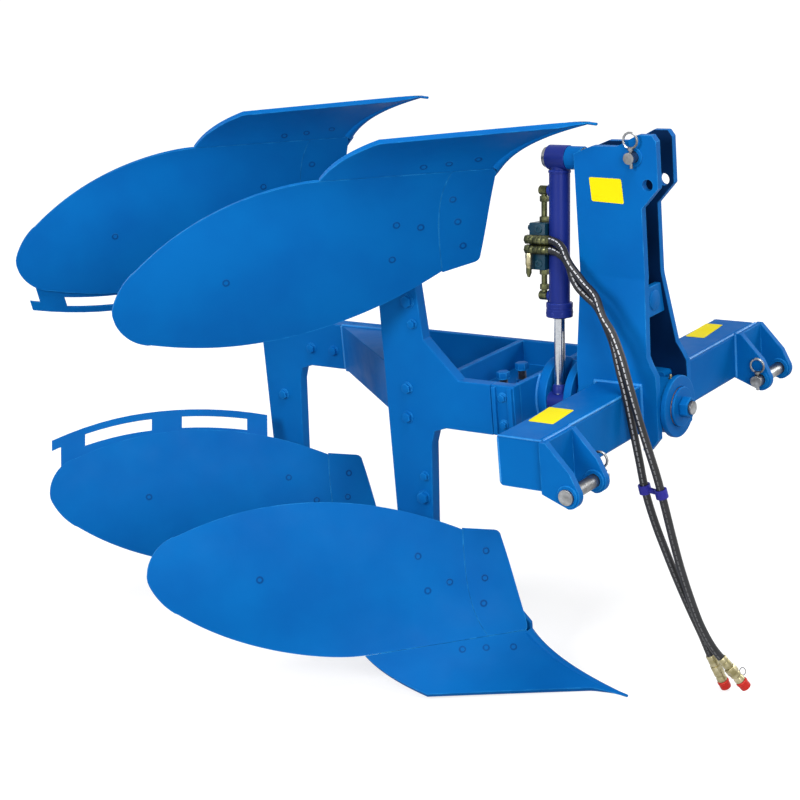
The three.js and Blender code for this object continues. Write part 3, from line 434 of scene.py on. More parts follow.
def assemble(name, forms, finish, body, replaced=(), smooth_angle=smooth_to):
    shape = bmesh.new()
    for form, at in forms:
        bmesh.ops.transform(form, matrix=at, verts=form.verts)
        carried = bpy.data.meshes.new("carried")
        form.to_mesh(carried)
        form.free()
        shape.from_mesh(carried)
        bpy.data.meshes.remove(carried)
    return finish_piece(name, shape, finish, body, replaced, smooth_angle)


def facing(at, axis):
    turn = Vector((0, 0, 1)).rotation_difference(Vector(axis).normalized())
    return Matrix.Translation(at) @ turn.to_matrix().to_4x4()


print("faces stay smooth up to", round(math.degrees(smooth_to)), "degrees")

# %% [markdown]
# A turned form, such as a pin, a collar or a ferrule, is spun from half of its outline. The outline is a
# list of radius and height pairs in millimetres. A hexagon is a six-sided cone with its rims bevelled.

# %% Turned and hexagonal forms
usual_steps = 28


def turned(outline, steps=usual_steps):
    form = bmesh.new()
    made = [form.verts.new((radius * MM, 0, height * MM)) for radius, height in outline]
    edges = [form.edges.new(pair) for pair in zip(made, made[1:])]
    bmesh.ops.spin(form, geom=made + edges, cent=(0, 0, 0), axis=(0, 0, 1), angle=math.tau, steps=steps,
                   use_merge=True, use_duplicate=False)
    bmesh.ops.remove_doubles(form, verts=form.verts, dist=MM / 100)
    bmesh.ops.recalc_face_normals(form, faces=form.faces)
    return form


def ring(outline, steps=usual_steps):
    return turned([*outline, outline[0]], steps)


def soften_edges(form, edges, width, segments):
    bmesh.ops.bevel(form, geom=edges, offset=width * MM, segments=segments, profile=0.5, affect="EDGES", material=-1)


def hexagon(radius, low, high, chamfer=1.2):
    form = bmesh.new()
    bmesh.ops.create_cone(form, cap_ends=True, segments=6, radius1=radius * MM, radius2=radius * MM,
                          depth=(high - low) * MM, matrix=Matrix.Translation((0, 0, (low + high) / 2 * MM)))
    rims = [e for e in form.edges if abs(e.verts[0].co.z - e.verts[1].co.z) < MM / 10]
    soften_edges(form, rims, chamfer, 2)
    return form


def block(low, high, soft=1.5):
    form = bmesh.new()
    size = [(b - a) * MM for a, b in zip(low, high)]
    middle = [(a + b) / 2 * MM for a, b in zip(low, high)]
    bmesh.ops.create_cube(form, size=1, matrix=Matrix.Translation(middle) @ Matrix.Diagonal((*size, 1)))
    soften_edges(form, form.edges[:], soft, 3)
    return form


print("steps round most turned forms:", usual_steps)

# %% [markdown]
# ## Hoses
# Both hydraulic hoses leave the valve block on the cylinder, arch over the right arm of the crossbar and
# hang down in front of the plough. Their whole length shows in the photograph. Each follows the same
# points, in millimetres, as its solid, on one smooth curve through them.

# %% Hose routes
hose_radius = 9
upper_points = [
    (-317, -57.2, 373.3), (-283.3, -57.2, 373.3), (-261, -64, 368), (-244, -74, 359), (-228, -88, 344),
    (-214, -95, 329), (-193, -98, 307), (-177, -103, 293), (-141, -119, 271), (-109, -145, 233),
    (-83, -153, 202), (-57, -165, 156), (-37, -173, 100), (-18, -175, 32), (-2, -167, -40), (13, -157, -113),
    (24, -147, -187), (33, -136, -260), (44, -125, -334), (60, -116, -406), (76, -103, -473), (96, -88, -528),
    (125, -66, -581),
]
lower_points = [
    (-317, -59.6, 351.4), (-283.3, -59.6, 351.4), (-260, -63, 345), (-243, -68, 335), (-229, -76, 322),
    (-215, -87, 301), (-199, -92, 280), (-179, -94, 263), (-150, -99, 242), (-111, -119, 193),
    (-89, -138, 167), (-68, -155, 119), (-51, -161, 62), (-41, -158, -7), (-34, -149, -81), (-28, -139, -156),
    (-15, -128, -229), (4, -118, -300), (24, -106, -372), (45, -93, -442), (63, -76, -508), (74, -59, -564),
    (81, -50, -592),
]
steps_between = 10


def smooth_route(points):
    ends = [points[0] * 2 - points[1], *points, points[-1] * 2 - points[-2]]
    route = []
    for before, start, end, after in zip(ends, ends[1:], ends[2:], ends[3:]):
        d0, d1, d2 = (math.sqrt((b - a).length) for a, b in ((before, start), (start, end), (end, after)))
        leave = ((start - before) / d0 - (end - before) / (d0 + d1) + (end - start) / d1) * d1
        arrive = ((end - start) / d1 - (after - start) / (d1 + d2) + (after - end) / d2) * d1
        for step in range(steps_between):
            t = step / steps_between
            route.append(start * (2 * t**3 - 3 * t**2 + 1) + leave * (t**3 - 2 * t**2 + t)
                         + end * (3 * t**2 - 2 * t**3) + arrive * (t**3 - t**2))
    route.append(points[-1])
    return route


given_points = {"upper": upper_points, "lower": lower_points}
routes = {name: smooth_route([place(*point) for point in points]) for name, points in given_points.items()}
print("points given:", len(upper_points), "and", len(lower_points))

# %% [markdown]
# A hose is one ring of vertices, pushed along the route ring by ring. Each new ring is turned only as far
# as the route bends, so the tube doesn't twist, and the UV map is written as it goes. Weld beads are made
# by the same helper, with a radius that swells and shrinks from ring to ring.

# %% Tube along a route


def ring_frames(route, upward):
    frames = []
    side = Vector(upward).cross(route[1] - route[0]).normalized()
    travelled = 0.0
    for index, point in enumerate(route):
        before = route[max(index - 1, 0)]
        along = (route[min(index + 1, len(route) - 1)] - before).normalized()
        side = (side - along * side.dot(along)).normalized()
        travelled += (point - before).length
        frames.append((point, side, along.cross(side), travelled))
    return frames


def tube(route, radii, sides, uv_name=None, upward=(0, 0, 1)):
    shape = bmesh.new()
    layer = shape.loops.layers.uv.new(uv_name) if uv_name else None
    corners = [(math.cos(k * math.tau / sides), math.sin(k * math.tau / sides)) for k in range(sides)]
    row = bmesh.ops.create_circle(shape, cap_ends=True, radius=MM, segments=sides)["verts"]
    reach = 0.0
    for index, (point, right, up, travelled) in enumerate(ring_frames(route, upward)):
        if index:
            edges = [shape.edges.get((row[k], row[k - 1])) for k in range(sides)]
            made = bmesh.ops.extrude_edge_only(shape, edges=edges)["geom"]
            fresh = {v for v in made if isinstance(v, bmesh.types.BMVert)}
            next_row = [next(e.other_vert(v) for e in v.link_edges if e.other_vert(v) in fresh) for v in row]
            for face in [f for f in made if isinstance(f, bmesh.types.BMFace)] if layer else []:
                columns = [(row.index(l.vert) if l.vert in row else next_row.index(l.vert)) for l in face.loops]
                wraps = {0, sides - 1} == set(columns)
                for loop, column in zip(face.loops, columns):
                    across = sides if wraps and column == 0 else column
                    loop[layer].uv = (reach if loop.vert in row else travelled, across / sides)
            row = next_row
        for vertex, (a, b) in zip(row, corners):
            vertex.co = point + (right * a + up * b) * radii[index % len(radii)] * MM
        reach = travelled
    shape.faces.new(row)
    bmesh.ops.recalc_face_normals(shape, faces=shape.faces)
    return shape


print("the upper hose will have", len(routes["upper"]), "rings")

# %% [markdown]
# The valve swings with the cylinder while the hoses' lower ends stay where they hang. Each hose is made
# here as one fixed piece, which rides on neither body.

# %% The two hoses
hose_sides = 16


def make_hose(name, route):
    shape = tube(route, [hose_radius], hose_sides, "hose")
    hose = finish_piece(f"{name}_hose_rubber", shape, rubber, None, [f"{name}_hose"])
    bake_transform(hose)
    return hose


hoses = {name: make_hose(name, route) for name, route in routes.items()}
print("faces of the upper hose:", len(hoses["upper"].data.polygons))

# %% [markdown]
# A hose ends in a pressed steel ferrule, then a hexagon nut and the coupler itself, whose end is closed by
# a red plastic dust cap. The cap is held by a loop of wire, so that it isn't lost in the field.

# %% Ferrules, couplers, caps and wire loops
ferrule = [(0, -34), (9.7, -34), (11, -32), (11, -24), (10.3, -22), (11, -20), (11, -8), (10.2, -4), (0, -4)]
coupler_outline = [(0, 14), (12, 14), (12.4, 16), (12.4, 22), (10.6, 24), (10.6, 28), (11.8, 30), (11.8, 38.5),
                   (10.6, 40), (0, 40)]
cap_outline = [(0, 40.4), (12.2, 40.4), (13.6, 42), (13.6, 46), (12.6, 47), (12.6, 58), (12, 61), (10.4, 62.2),
               (0, 62.2)]
loop_radius, loop_steps, loop_height, wire_radius, wire_sides = 8.5, 20, 30, 1.1, 6


def make_end(name, route):
    at = facing(route[-1], route[-1] - route[-2])
    metal = [(turned(ferrule), at), (hexagon(13.8, -4, 14), at), (turned(coupler_outline), at)]
    coupler = assemble(f"{name}_coupler", metal, zinc, "headstock", [f"{name}_hose_coupler"])
    cap = assemble(f"{name}_dust_cap", [(turned(cap_outline), at)], cap_red, "headstock", [f"{name}_hose_cap"])
    centre = at @ Vector((-(11 + loop_radius) * MM, 0, loop_height * MM))
    right, ahead, out = at.to_3x3().col
    turns = [k * math.tau / loop_steps for k in range(loop_steps + 1)]
    around = [centre + (right * math.cos(t) + out * math.sin(t)) * loop_radius * MM for t in turns]
    loop = tube(around, [wire_radius], wire_sides, upward=ahead)
    return [coupler, cap, finish_piece(f"{name}_cap_wire", loop, pin_steel, "headstock")]


hose_ends = {name: make_end(name, route) for name, route in routes.items()}
print("pieces at each hose's end:", len(hose_ends["upper"]))

# %% [markdown]
# The plastic clamp is on both hoses. The loop below only reads each hose's route.

for name, hose in hoses.items():
    route = routes[name]

# %% [markdown]
# ## Dressing the solids
# Most solids are already right in shape, so they stay and get a finish. Sheared and welded plate has no
# knife edges though: a Bevel modifier breaks each edge by a millimetre or two, which is what catches the
# light along the real one. The solids arrive as loose triangles, so a Weld comes first, and a planar
# Decimate turns their flat faces back into single faces for the bevel to work on.

# %% Finish and soft edges on the solids
plate_edge, turned_edge, sharp_from, flat_within = 2.2, 0.8, 32, 0.7
even_weight = 80


def add_modifier(piece, kind, name, **settings):
    modifier = piece.modifiers.new(name, kind)
    for setting, value in settings.items():
        setattr(modifier, setting, value)


def add_soft_edges(piece, width, least_angle):
    add_modifier(piece, "BEVEL", "edges", width=width * MM, segments=2, limit_method="ANGLE",
                 angle_limit=math.radians(least_angle))
    add_modifier(piece, "WEIGHTED_NORMAL", "even shading", weight=even_weight)


slot_of_node = {entry["node"]: entry["material_slot"] for entry in frame["record"]["subparts"]}
main_finishes = (frame_blue, cylinder_blue, pin_steel, chrome, bronze, valve_teal, rubber, clamp_blue, cap_red)
finish_of_slot = {slot_of[finish.name]: finish for finish in main_finishes}
for node, slot_name in slot_of_node.items():
    piece = frame["nodes"][node]
    for held in piece.material_slots:
        held.material = finish_of_slot[slot_name]
    add_modifier(piece, "WELD", "weld", merge_threshold=MM / 50)
    add_modifier(piece, "DECIMATE", "flat faces", decimate_type="DISSOLVE", angle_limit=math.radians(flat_within))
    add_soft_edges(piece, plate_edge if slot_name == "frame_paint" else turned_edge, sharp_from)
print("dressed:", len(slot_of_node))

# %% [markdown]
# The faces between the two plates of the mast get a dark blue, which is painted shade for the deep gap
# between them. Only the faces that look into the gap get this second material.

# %% Painted shade inside the mast
inward_faces = {"mast_plate_left": (0, -1, 0), "mast_plate_right": (0, 1, 0), "mast_rear_plate": (1, 0, 0)}
for node, inward in inward_faces.items():
    mesh = frame["nodes"][node].data
    mesh.materials.append(mast_gap_shade_blue)
    facing_in = [face for face in mesh.polygons if face.normal.dot(Vector(inward)) > 0.95]
    for face in facing_in:
        face.material_index = len(mesh.materials) - 1
    print(node, "faces inside the mast:", len(facing_in))

# %% [markdown]
# ## Working surface
# Mouldboards, shins and shares are pressed to one long curve. The solids follow it with flat facets, so
# here the same curve is written out again for finer plates. It is laid on level lines: s runs back from
# the shin along the line at height h above the ground, and all of it is in millimetres.

# %% Points of the working surface
ground_z = cad_box[0].z / MM - axis_z / MM
share_slope, surface_twist = math.radians(33), math.radians(17.5)
row_steps = {"front": (0, 0), "rear": (-662, 322)}
bodies = [(row, level) for row in row_steps for level in ("lower", "upper")]


def shin_line(h):
    share = h / 330
    x = -100 - 328 * (1 - math.exp(-h / 68)) - 24 * share**2
    return x, -158 + 25 * share + 37 * share**2, share_slope + surface_twist * (1 - math.exp(-h / 125))


def on_surface(s, h):
    x, y, angle = shin_line(max(h, 0))
    return Vector((x - s * math.cos(angle), y - s * math.sin(angle), h + ground_z))


def working_side(s, h):
    along = on_surface(s + 2, h) - on_surface(s - 2, h)
    return along.cross(on_surface(s, h - 2) - on_surface(s, h + 2)).normalized()


def to_body(point, row, level):
    step_x, step_y = row_steps[row]
    return place(point.x + step_x, point.y + step_y, point.z * (1 if level == "lower" else -1))


def keep_level(shape):
    for vertex in shape.verts:
        vertex.co.z = min(max(vertex.co.z, cad_box[0].z), cad_box[1].z)


print("working side faces", [round(v, 2) for v in working_side(300, 200)])

# %% [markdown]
# Each plate is bounded by its edges: the seam between share and mouldboard, the crest, the belly and the
# rounded tail. Where the shin and the mouldboard meet, the photograph shows both top corners nearly level.

# %% Edges of the plates
tail_start, tail_end, tail_height, tail_half = 780, 842, 350, 2
plate_gap = 0.3


def seam(s):
    return 108 - 12 * min(1, s / 394)


def share_edge(s):
    return 11 * s / 28 if s < 28 else 11 + 5 * (s - 28) / 366


def rounded_tail(s, edge, side):
    into = max(0, (s - tail_start) / (tail_end - tail_start))
    share = math.sqrt(max(0, 1 - into**3))
    return edge if s < tail_start else tail_height + side * tail_half + (edge - tail_height) * share


def crest(s):
    fall, span = (118, 466) if s < 560 else (56, 282)
    return rounded_tail(s, 462 - fall * ((s - 560) / span) ** 2, 1)


def belly(s):
    return max(seam(s) + plate_gap, rounded_tail(s, 96 + 218 * max(0, (s - 394) / 448) ** 2, -1))


def shin_foot(s):
    return seam(s) + plate_gap


def shin_top(s, corner=16):
    dip = corner - math.sqrt(corner**2 - (corner - s) ** 2) if s < corner else 0
    return 329 + 18 * s / 92 - dip


print("mouldboard is", round(crest(560) - belly(560)), "mm high at its middle")

# %% [markdown]
# A plate starts as a flat grid. Its columns are spread along s and its rows between the two edges, closer
# together low down where the surface bends most. Every vertex is moved onto the surface and remembers the
# way to the plate's rear side, so that one extrusion gives the sheet its thickness. What would then reach
# below the ground is levelled, as the share's underside is, and a Bevel modifier rounds the rim.

# %% Fine plates: start, end, low edge, high edge, thickness, bow, columns, rows
rim_width, rim_from = 1.4, 55
plate_forms = {
    "mouldboard": (94, 842, belly, crest, 8, 0, 60, 20),
    "shin": (0, 93.4, shin_foot, shin_top, 8, 22, 14, 18),
    "share": (0, 394, share_edge, seam, 12, 9, 36, 14),
}


def place_vertex(vertex, behind, kind, row, level):
    start, end, low, high, thickness, bow = plate_forms[kind][:6]
    across, rise = vertex.co.x + 0.5, vertex.co.y + 0.5
    crowded = 1 - (1 - across) ** 1.5 if kind == "mouldboard" else across**1.4
    s = start + (end - start) * crowded
    h = low(s) + (high(s) - low(s)) * rise**1.5
    at = on_surface(s - bow * 4 * rise * (1 - rise) * (1 - s / end), h)
    vertex.co = to_body(at, row, level)
    vertex[behind] = to_body(at - working_side(s, max(h, 2)) * thickness, row, level) - vertex.co


def make_plate(row, level, kind):
    columns, rows = plate_forms[kind][6:]
    shape = bmesh.new()
    behind = shape.verts.layers.float_vector.new("behind")
    bmesh.ops.create_grid(shape, x_segments=columns, y_segments=rows, size=0.5)
    for vertex in shape.verts:
        place_vertex(vertex, behind, kind, row, level)
    made = bmesh.ops.extrude_face_region(shape, geom=shape.faces[:])["geom"]
    for vertex in [v for v in made if isinstance(v, bmesh.types.BMVert)]:
        vertex.co += vertex[behind]
    shape.verts.layers.float_vector.remove(behind)
    keep_level(shape)
    bmesh.ops.recalc_face_normals(shape, faces=shape.faces)
    node = f"{row}_{level}_{kind}"
    plate = finish_piece(f"{node}_plate", shape, frame_blue, body_of_node[node], [node])
    add_soft_edges(plate, rim_width, rim_from)


for row, level in bodies:
    for kind in plate_forms:
        make_plate(row, level, kind)
print("fine plates:", len(bodies) * len(plate_forms))

# %% [markdown]
# The front edge of a share takes the hardest wear, so a bar is welded along it from the foot of the shin to
# the point. It is a tube along the surface's first line, thicker above than at the point, and level with the
# ground below.

# %% Bars on the points of the shares
bar_top, bar_foot, bar_steps = 106, 4, 18
bar_ahead, bar_point = 5, Vector((-89, -161, ground_z + 3))


def make_point_bar(row, level):
    heights = [bar_foot + (bar_top - bar_foot) * (1 - k / bar_steps) ** 1.4 for k in range(bar_steps + 1)]
    route = [on_surface(-bar_ahead, h) - working_side(-bar_ahead, h) * bar_ahead for h in heights] + [bar_point]
    radii = [6 + 6 * h / bar_top for h in heights] + [3.4]
    shape = tube([to_body(point, row, level) for point in route], radii, 12)
    keep_level(shape)
    finish_piece(f"{row}_{level}_point_bar", shape, frame_blue, "turning_frame")


for row, level in bodies:
    make_point_bar(row, level)
print("point bars:", len(bodies))

# %% [markdown]
# ## Bolts
# Bolt heads sit where the photograph shows them. Those of a share or a mouldboard lie on the working
# surface, and a ray shot back through the plates finds the face behind on which the nut sits.

# %% Shoot at a solid's surface


def target(*nodes):
    corners, faces = [], []
    for node in nodes:
        mesh = frame["nodes"][node].data
        faces += [[index + len(corners) for index in face.vertices] for face in mesh.polygons]
        corners += [vertex.co.copy() for vertex in mesh.vertices]
    return BVHTree.FromPolygons(corners, faces)


def spot(tree, start, way):
    at, normal, _, _ = tree.ray_cast(start, Vector(way).normalized())
    return at, (normal if at is None or normal.dot(Vector(way)) < 0 else -normal)


test_target = target("front_standard")
print("near face of the front standard:", spot(test_target, place(-606, -600, 0), (0, 1, 0))[0])

# %% [markdown]
# A machine bolt shows a washer and a domed hexagon head on one side, and a nut with the bolt's end on the
# other. A plough bolt has a flat round head that lies nearly flush in the share, so that soil slides over
# it, with the nut behind. They were painted with the frame, so they have its finish, except that the plough
# bolt heads are a darker blue, which is painted shade for their dished heads.

# %% Bolt forms
washer_top = 2.4


def bolt_head(at, axis, size=12):
    washer = [(0, -1), (size * 1.25, -1), (size * 1.25, 2), (size * 1.15, 2.5), (0, 2.5)]
    seat = facing(at, axis)
    return [(turned(washer), seat), (hexagon(size * 1.02, washer_top, washer_top + size * 0.75), seat)]


def bolt_nut(at, axis, size=12):
    top = washer_top + size * 0.75
    bolt_end = [(0, top - 1), (size * 0.55, top - 1), (size * 0.55, top + 5), (size * 0.45, top + 6), (0, top + 6)]
    return bolt_head(at, axis, size) + [(turned(bolt_end, 16), facing(at, axis))]


def plough_head(at, axis, size=9):
    sunk = [(0, -1.2), (size * 0.42, -1.2), (size * 0.5, 0.2), (size * 0.9, 0.5), (size, 0.1), (size, -2), (0, -2)]
    return [(turned(sunk, 24), facing(at, axis))]


print("a nut stands", washer_top + 12 * 0.75, "mm high")

# %% [markdown]
# Each body has ten plough bolts, given by s and h on the working surface, and three bolts that hold its
# landside and frog to the standard. The upper bodies mirror the lower ones.

# %% Bolts of the four bodies
plough_bolts = [(50, 228), (66, 173), (40, 288), (135, 231), (190, 219), (205, 300), (582, 304), (60, 80), (120, 84),
                (174, 86)]
standard_bolts = [(-640, 400), (-662, 440), (-640, 478)]
near_face = -178
shot_start, deepest_nut = 0.09, 0.06


def bolt_body(row, level):
    step_x, step_y = row_steps[row]
    up = 1 if level == "lower" else -1
    behind = target(*[f"{row}_{level}_{kind}" for kind in ("frog", "mouldboard", "share", "shin")])
    heads, nuts = [], []
    for s, h in plough_bolts:
        out = working_side(s, h)
        normal = Vector((out.x, out.y, out.z * up))
        at = to_body(on_surface(s, h), row, level)
        heads += plough_head(at, normal)
        seat, seat_normal = spot(behind, at - normal * shot_start, normal)
        if seat and (seat - at).length < deepest_nut and seat_normal.dot(normal) < -0.9:
            nuts += bolt_nut(seat, -normal, 10)
    for x, z in standard_bolts:
        nuts += bolt_head(place(x + step_x, near_face + step_y, -z * up), (0, -1, 0), 13)
    # The plough bolt heads take the darker blue, which is painted shade.
    assemble(f"{row}_{level}_plough_bolts", heads, bolt_head_shade_blue, "turning_frame")
    assemble(f"{row}_{level}_nuts", nuts, frame_blue, "turning_frame")


for row, level in bodies:
    bolt_body(row, level)
print("plough bolts:", len(bodies) * len(plough_bolts))

# %% [markdown]
# Hexagon bolts hold the slanting beam and the legs to the two standards, with nuts on the far side. A plate
# with two ribs closes the gap between the front standard's arm and the head of the frame.

# %% Bolts of the standards and the side plate of the head
front_bolts = [(-606, 240, 14), (-598, 186, 10), (-628, 29, 12), (-634, -43, 12), (-606, -240, 14), (-598, -186, 10)]
rear_bolts = [(-1182, -11, 12), (-1107, -11, 12), (-1040, 5, 12), (-1295, 150, 12), (-1295, -150, 12)]
standard_thickness, rear_near_face, beam_reach = 30, 144, 100


def bolt_standards():
    forms = []
    for x, z, size in front_bolts:
        forms += bolt_head(place(x, near_face, z), (0, -1, 0), size)
        if abs(z) > beam_reach:
            forms += bolt_nut(place(x, near_face + standard_thickness, z), (0, 1, 0), size)
    for x, z, size in rear_bolts:
        forms += bolt_head(place(x, rear_near_face, z), (0, -1, 0), size)
        forms += bolt_nut(place(x, rear_near_face + standard_thickness, z), (0, 1, 0), size)
    assemble("standard_bolts", forms, frame_blue, "turning_frame")


def make_side_plate():
    at = Matrix.Translation(place(0, 0, 0))
    plate = block((-394.6, -175, -60), (-333.4, -147.9, 60), 1.8)
    ribs = [block((x, -183, -57), (x + width, -174, 57), 1.8) for x, width in ((-390, 10), (-348, 12))]
    forms = [(form, at) for form in (plate, *ribs)]
    for z in (-32, 32):
        forms += bolt_head(place(-364, -175, z), (0, -1, 0), 9)
    assemble("head_side_plate", forms, frame_blue, "turning_frame")


make_side_plate()
bolt_standards()
print("bolts of the standards:", len(front_bolts) + len(rear_bolts))

# %% [markdown]
# ## Stop screws
# Two screws through a shelf of the head set how upright the bodies stand. Rings of thread are cheaper than
# a true helix and look the same at this size. The heads carry the frame's paint, and each runs in a nut
# that is welded to the shelf.

# %% Threaded stop screws and their nuts
screw_x, screw_half, screw_radius = -450, 48, 9.9
head_foot, nut_spans = screw_half - 14, ((0, 9), (-22, -12))
thread_pitch, thread_depth = 2.5, 1.4
thread_turns = int((head_foot + screw_half) / thread_pitch)


def thread_outline():
    crest_at, root_at = screw_radius, screw_radius - thread_depth
    outline = [(0, -screw_half), (root_at, -screw_half)]
    for turn in range(thread_turns):
        start = turn * thread_pitch - screw_half
        outline += [(crest_at, start + thread_pitch * 0.4), (crest_at, start + thread_pitch * 0.6),
                    (root_at, start + thread_pitch)]
    return [*outline, (0, thread_turns * thread_pitch - screw_half)]


def make_stop_screw(side, y):
    node = f"stop_screw_{side}"
    body = body_of_node[node]
    at = facing(place(screw_x, y, 0), (0, 0, 1))
    assemble(f"{node}_thread", [(turned(thread_outline(), 20), at)], dark_steel, body, [node])
    flange = [(0, head_foot - 3), (14, head_foot - 3), (14, head_foot - 0.5), (0, head_foot - 0.5)]
    head = hexagon(16, head_foot - 1, screw_half)
    assemble(f"{node}_head", [(head, at), (turned(flange), at)], frame_blue, body)
    nuts = [ring([(11.6, low), (17, low), (17, high), (11.6, high)], 6) for low, high in nut_spans]
    assemble(f"{node}_nuts", [(nut, at) for nut in nuts], frame_blue, "turning_frame")


for side, y in (("right", -40), ("left", 40)):
    make_stop_screw(side, y)
print("rings of thread on each screw:", thread_turns)

# %% [markdown]
# ## Turnover cylinder
# The cylinder hangs from the mast's rear pin and leans towards the crank. Its pieces are made upright, in
# millimetres below that pin, and then hung along the rod's own axis, which the record gives.

# %% A place on the hanging cylinder
pin_low, pin_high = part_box("cylinder_pin")
rod_joint = next(joint for joint in behaviour["joints"] if joint["name"] == "rod_slide")
rod_up = -Vector(rod_joint["axis"]).normalized()
hung = Matrix((Vector((1, 0, 0)), rod_up.cross(Vector((1, 0, 0))), rod_up)).transposed().to_4x4()
hung.translation = Vector((-285 * MM, 0, (pin_low.z + pin_high.z) / 2))


def along_cylinder(at, way):
    return facing(hung @ (Vector(at) * MM), hung.to_3x3() @ Vector(way))


print("cylinder leans", round(math.degrees(rod_up.angle(Vector((0, 0, 1)))), 2), "degrees")

# %% [markdown]
# The chromed rod ends in a painted eye, which the crank's pin holds. Inside the barrel it carries the
# piston, out of sight. The rod is one turned form and the eye another, so each gets its own finish.

# %% Rod and its eye
rod_low, rod_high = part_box("cylinder_rod")
eye_half = (rod_high.x - rod_low.x) / 2 / MM
rod_reach, rod_radius, eye_radius, eye_soft = 553.5, 12.5, 22, 2
rod_outline = [(0, 10 - rod_reach), (rod_radius, 10 - rod_reach), (rod_radius, -326), (18.5, -325.6),
               (18.5, -292), (0, -292)]
eye_side = [(0, eye_half - 1), (13, eye_half - 1), (13, eye_half), (eye_radius - eye_soft, eye_half),
            (eye_radius, eye_half - eye_soft)]
eye_outline = [(radius, -height) for radius, height in eye_side] + eye_side[::-1]
neck_outline = [(0, 20), (16.5, 20), (16.5, 34), (13.2, 40), (0, 40)]

assemble("rod_shank", [(turned(rod_outline, 36), hung)], chrome, "rod", ["cylinder_rod"])
eye_place = (0, 0, -rod_reach)
rod_end = [(turned(eye_outline, 36), along_cylinder(eye_place, (1, 0, 0))),
           (turned(neck_outline), along_cylinder(eye_place, (0, 0, 1)))]
assemble("rod_eye", rod_end, cylinder_blue, "rod")
print("rod eye is", round(eye_half * 2, 1), "mm wide")

# %% [markdown]
# The gland that closes the barrel's lower end is screwed in with a hook spanner, so it has a groove and
# small studs round its rim. A wiper ring stands below it, the barrel's welded eye has a bead round its
# neck, and two bosses take the pipes.

# %% Gland, bead and bosses on the barrel
barrel_end, gland_rim, barrel_radius = -358, 30.6, 24
pipe_heights = (-74, -312)
spanner_studs = 8
collar = [(barrel_radius, 33), (gland_rim - 1.5, 33), (gland_rim, 31), (gland_rim, 22), (gland_rim - 1.4, 20.5),
          (gland_rim - 1.4, 18), (gland_rim, 16.5), (gland_rim, 1.5), (gland_rim - 1.5, -0.4), (16, -0.4), (16, 4),
          (barrel_radius, 6)]
stud = [(0, -1), (2.8, -1), (2.8, 0.5), (2, 0.9), (0, 0.9)]
wiper = [(12.9, -0.5), (12.9, -4), (15.5, -4), (16, -0.5)]
neck_bead = [(barrel_radius - 4, -34), (barrel_radius - 1, -27), (barrel_radius + 1.6, -29),
             (barrel_radius + 1.8, -31.5), (barrel_radius + 1, -34)]
boss = [(0, 0), (15, 0), (15, 6), (13, 8), (0, 8)]


def make_gland():
    foot = hung @ Matrix.Translation((0, 0, barrel_end * MM))
    forms = [(ring(collar, 40), foot)]
    for k in range(spanner_studs):
        way = Vector((math.cos(k * math.tau / spanner_studs), math.sin(k * math.tau / spanner_studs), 0))
        forms.append((turned(stud, 12), along_cylinder(way * gland_rim + Vector((0, 0, barrel_end + 9)), way)))
    assemble("gland_collar", forms, cylinder_blue, "cylinder")
    assemble("rod_wiper", [(ring(wiper), foot)], rubber, "cylinder")


make_gland()
bosses = [(turned(boss), along_cylinder((5 - barrel_radius, 0, height), (-1, 0, 0))) for height in pipe_heights]
assemble("barrel_details", [(ring(neck_bead, 36), hung), *bosses], cylinder_blue, "cylinder")
print("studs round the gland:", spanner_studs)

# %% [markdown]
# ## Valve block
# The double check valve is a teal block bolted behind the barrel. It has a round plug at each end of both
# sides, and four socket screws on its rear.

# %% Valve body and its screws
valve_front, valve_rear, valve_half, valve_top, valve_bottom = -24.3, -66.3, 24, -146, -252
pipe_x = -40.3
plug = [(0, 0), (9, 0), (9, 2.4), (8, 3.2), (4.4, 3.2), (4, 1), (0, 1)]
socket_screw = [(0, 0), (6.5, 0), (6.5, 5), (5.8, 6), (3.4, 6), (3.2, 2.5), (0, 2.5)]
valve_forms = [(block((valve_rear, -valve_half, valve_bottom), (valve_front, valve_half, valve_top), 2.5), hung)]
for side in (-1, 1):
    for height in (valve_top - 14, valve_bottom + 14):
        valve_forms.append((turned(plug, 24), along_cylinder((pipe_x, side * valve_half, height), (0, side, 0))))
    for height in (valve_top - 12, valve_bottom + 12):
        seat = along_cylinder((valve_rear, side * 14, height), (-1, 0, 0))
        valve_forms.append((turned(socket_screw, 20), seat))
assemble("valve_body", valve_forms, valve_teal, "cylinder", ["valve_block"])
print("forms of the valve body:", len(valve_forms))

# %% [markdown]
# Pipes run from the valve to both ends of the cylinder, each with two hexagon nuts and an elbow at the
# barrel. The hoses screw into two swivel fittings on the valve's near side, and a relief valve hangs below
# them, with a pale body and an olive cap.

# %% Pipes, swivel fittings and the relief valve
port_y, port_front, port_heights = -37, -32.3, (-182, -204)
port_reach = port_front - valve_rear
swivel = [(0, 12), (9.6, 12), (10.6, 14), (10.6, 20), (9.4, 22), (10.6, 24), (10.6, port_reach - 1),
          (9.6, port_reach), (0, port_reach)]
relief = [(0, 0), (7.6, 0), (7.9, 2), (7.9, 26), (7, 28), (6.4, 30), (6.4, 34), (0, 34)]
relief_cap = [(0, 34), (6.6, 34), (6.6, 45), (5, 49), (2.8, 54.8), (0, 54.8)]


def pipe_forms(start, end):
    rise = abs(end - start)
    at = along_cylinder((pipe_x, 0, start), (0, 0, end - start))
    elbow = along_cylinder((pipe_x - 11, 0, end), (1, 0, 0))
    return [(turned([(0, -2), (6.8, -2), (6.8, rise), (0, rise)], 20), at), (hexagon(11, 0, 13), at),
            (hexagon(10.4, rise - 26, rise - 13), at),
            (turned([(0, 0), (9, 0), (10.6, 1.6), (10.6, 20), (0, 20)], 20), elbow)]


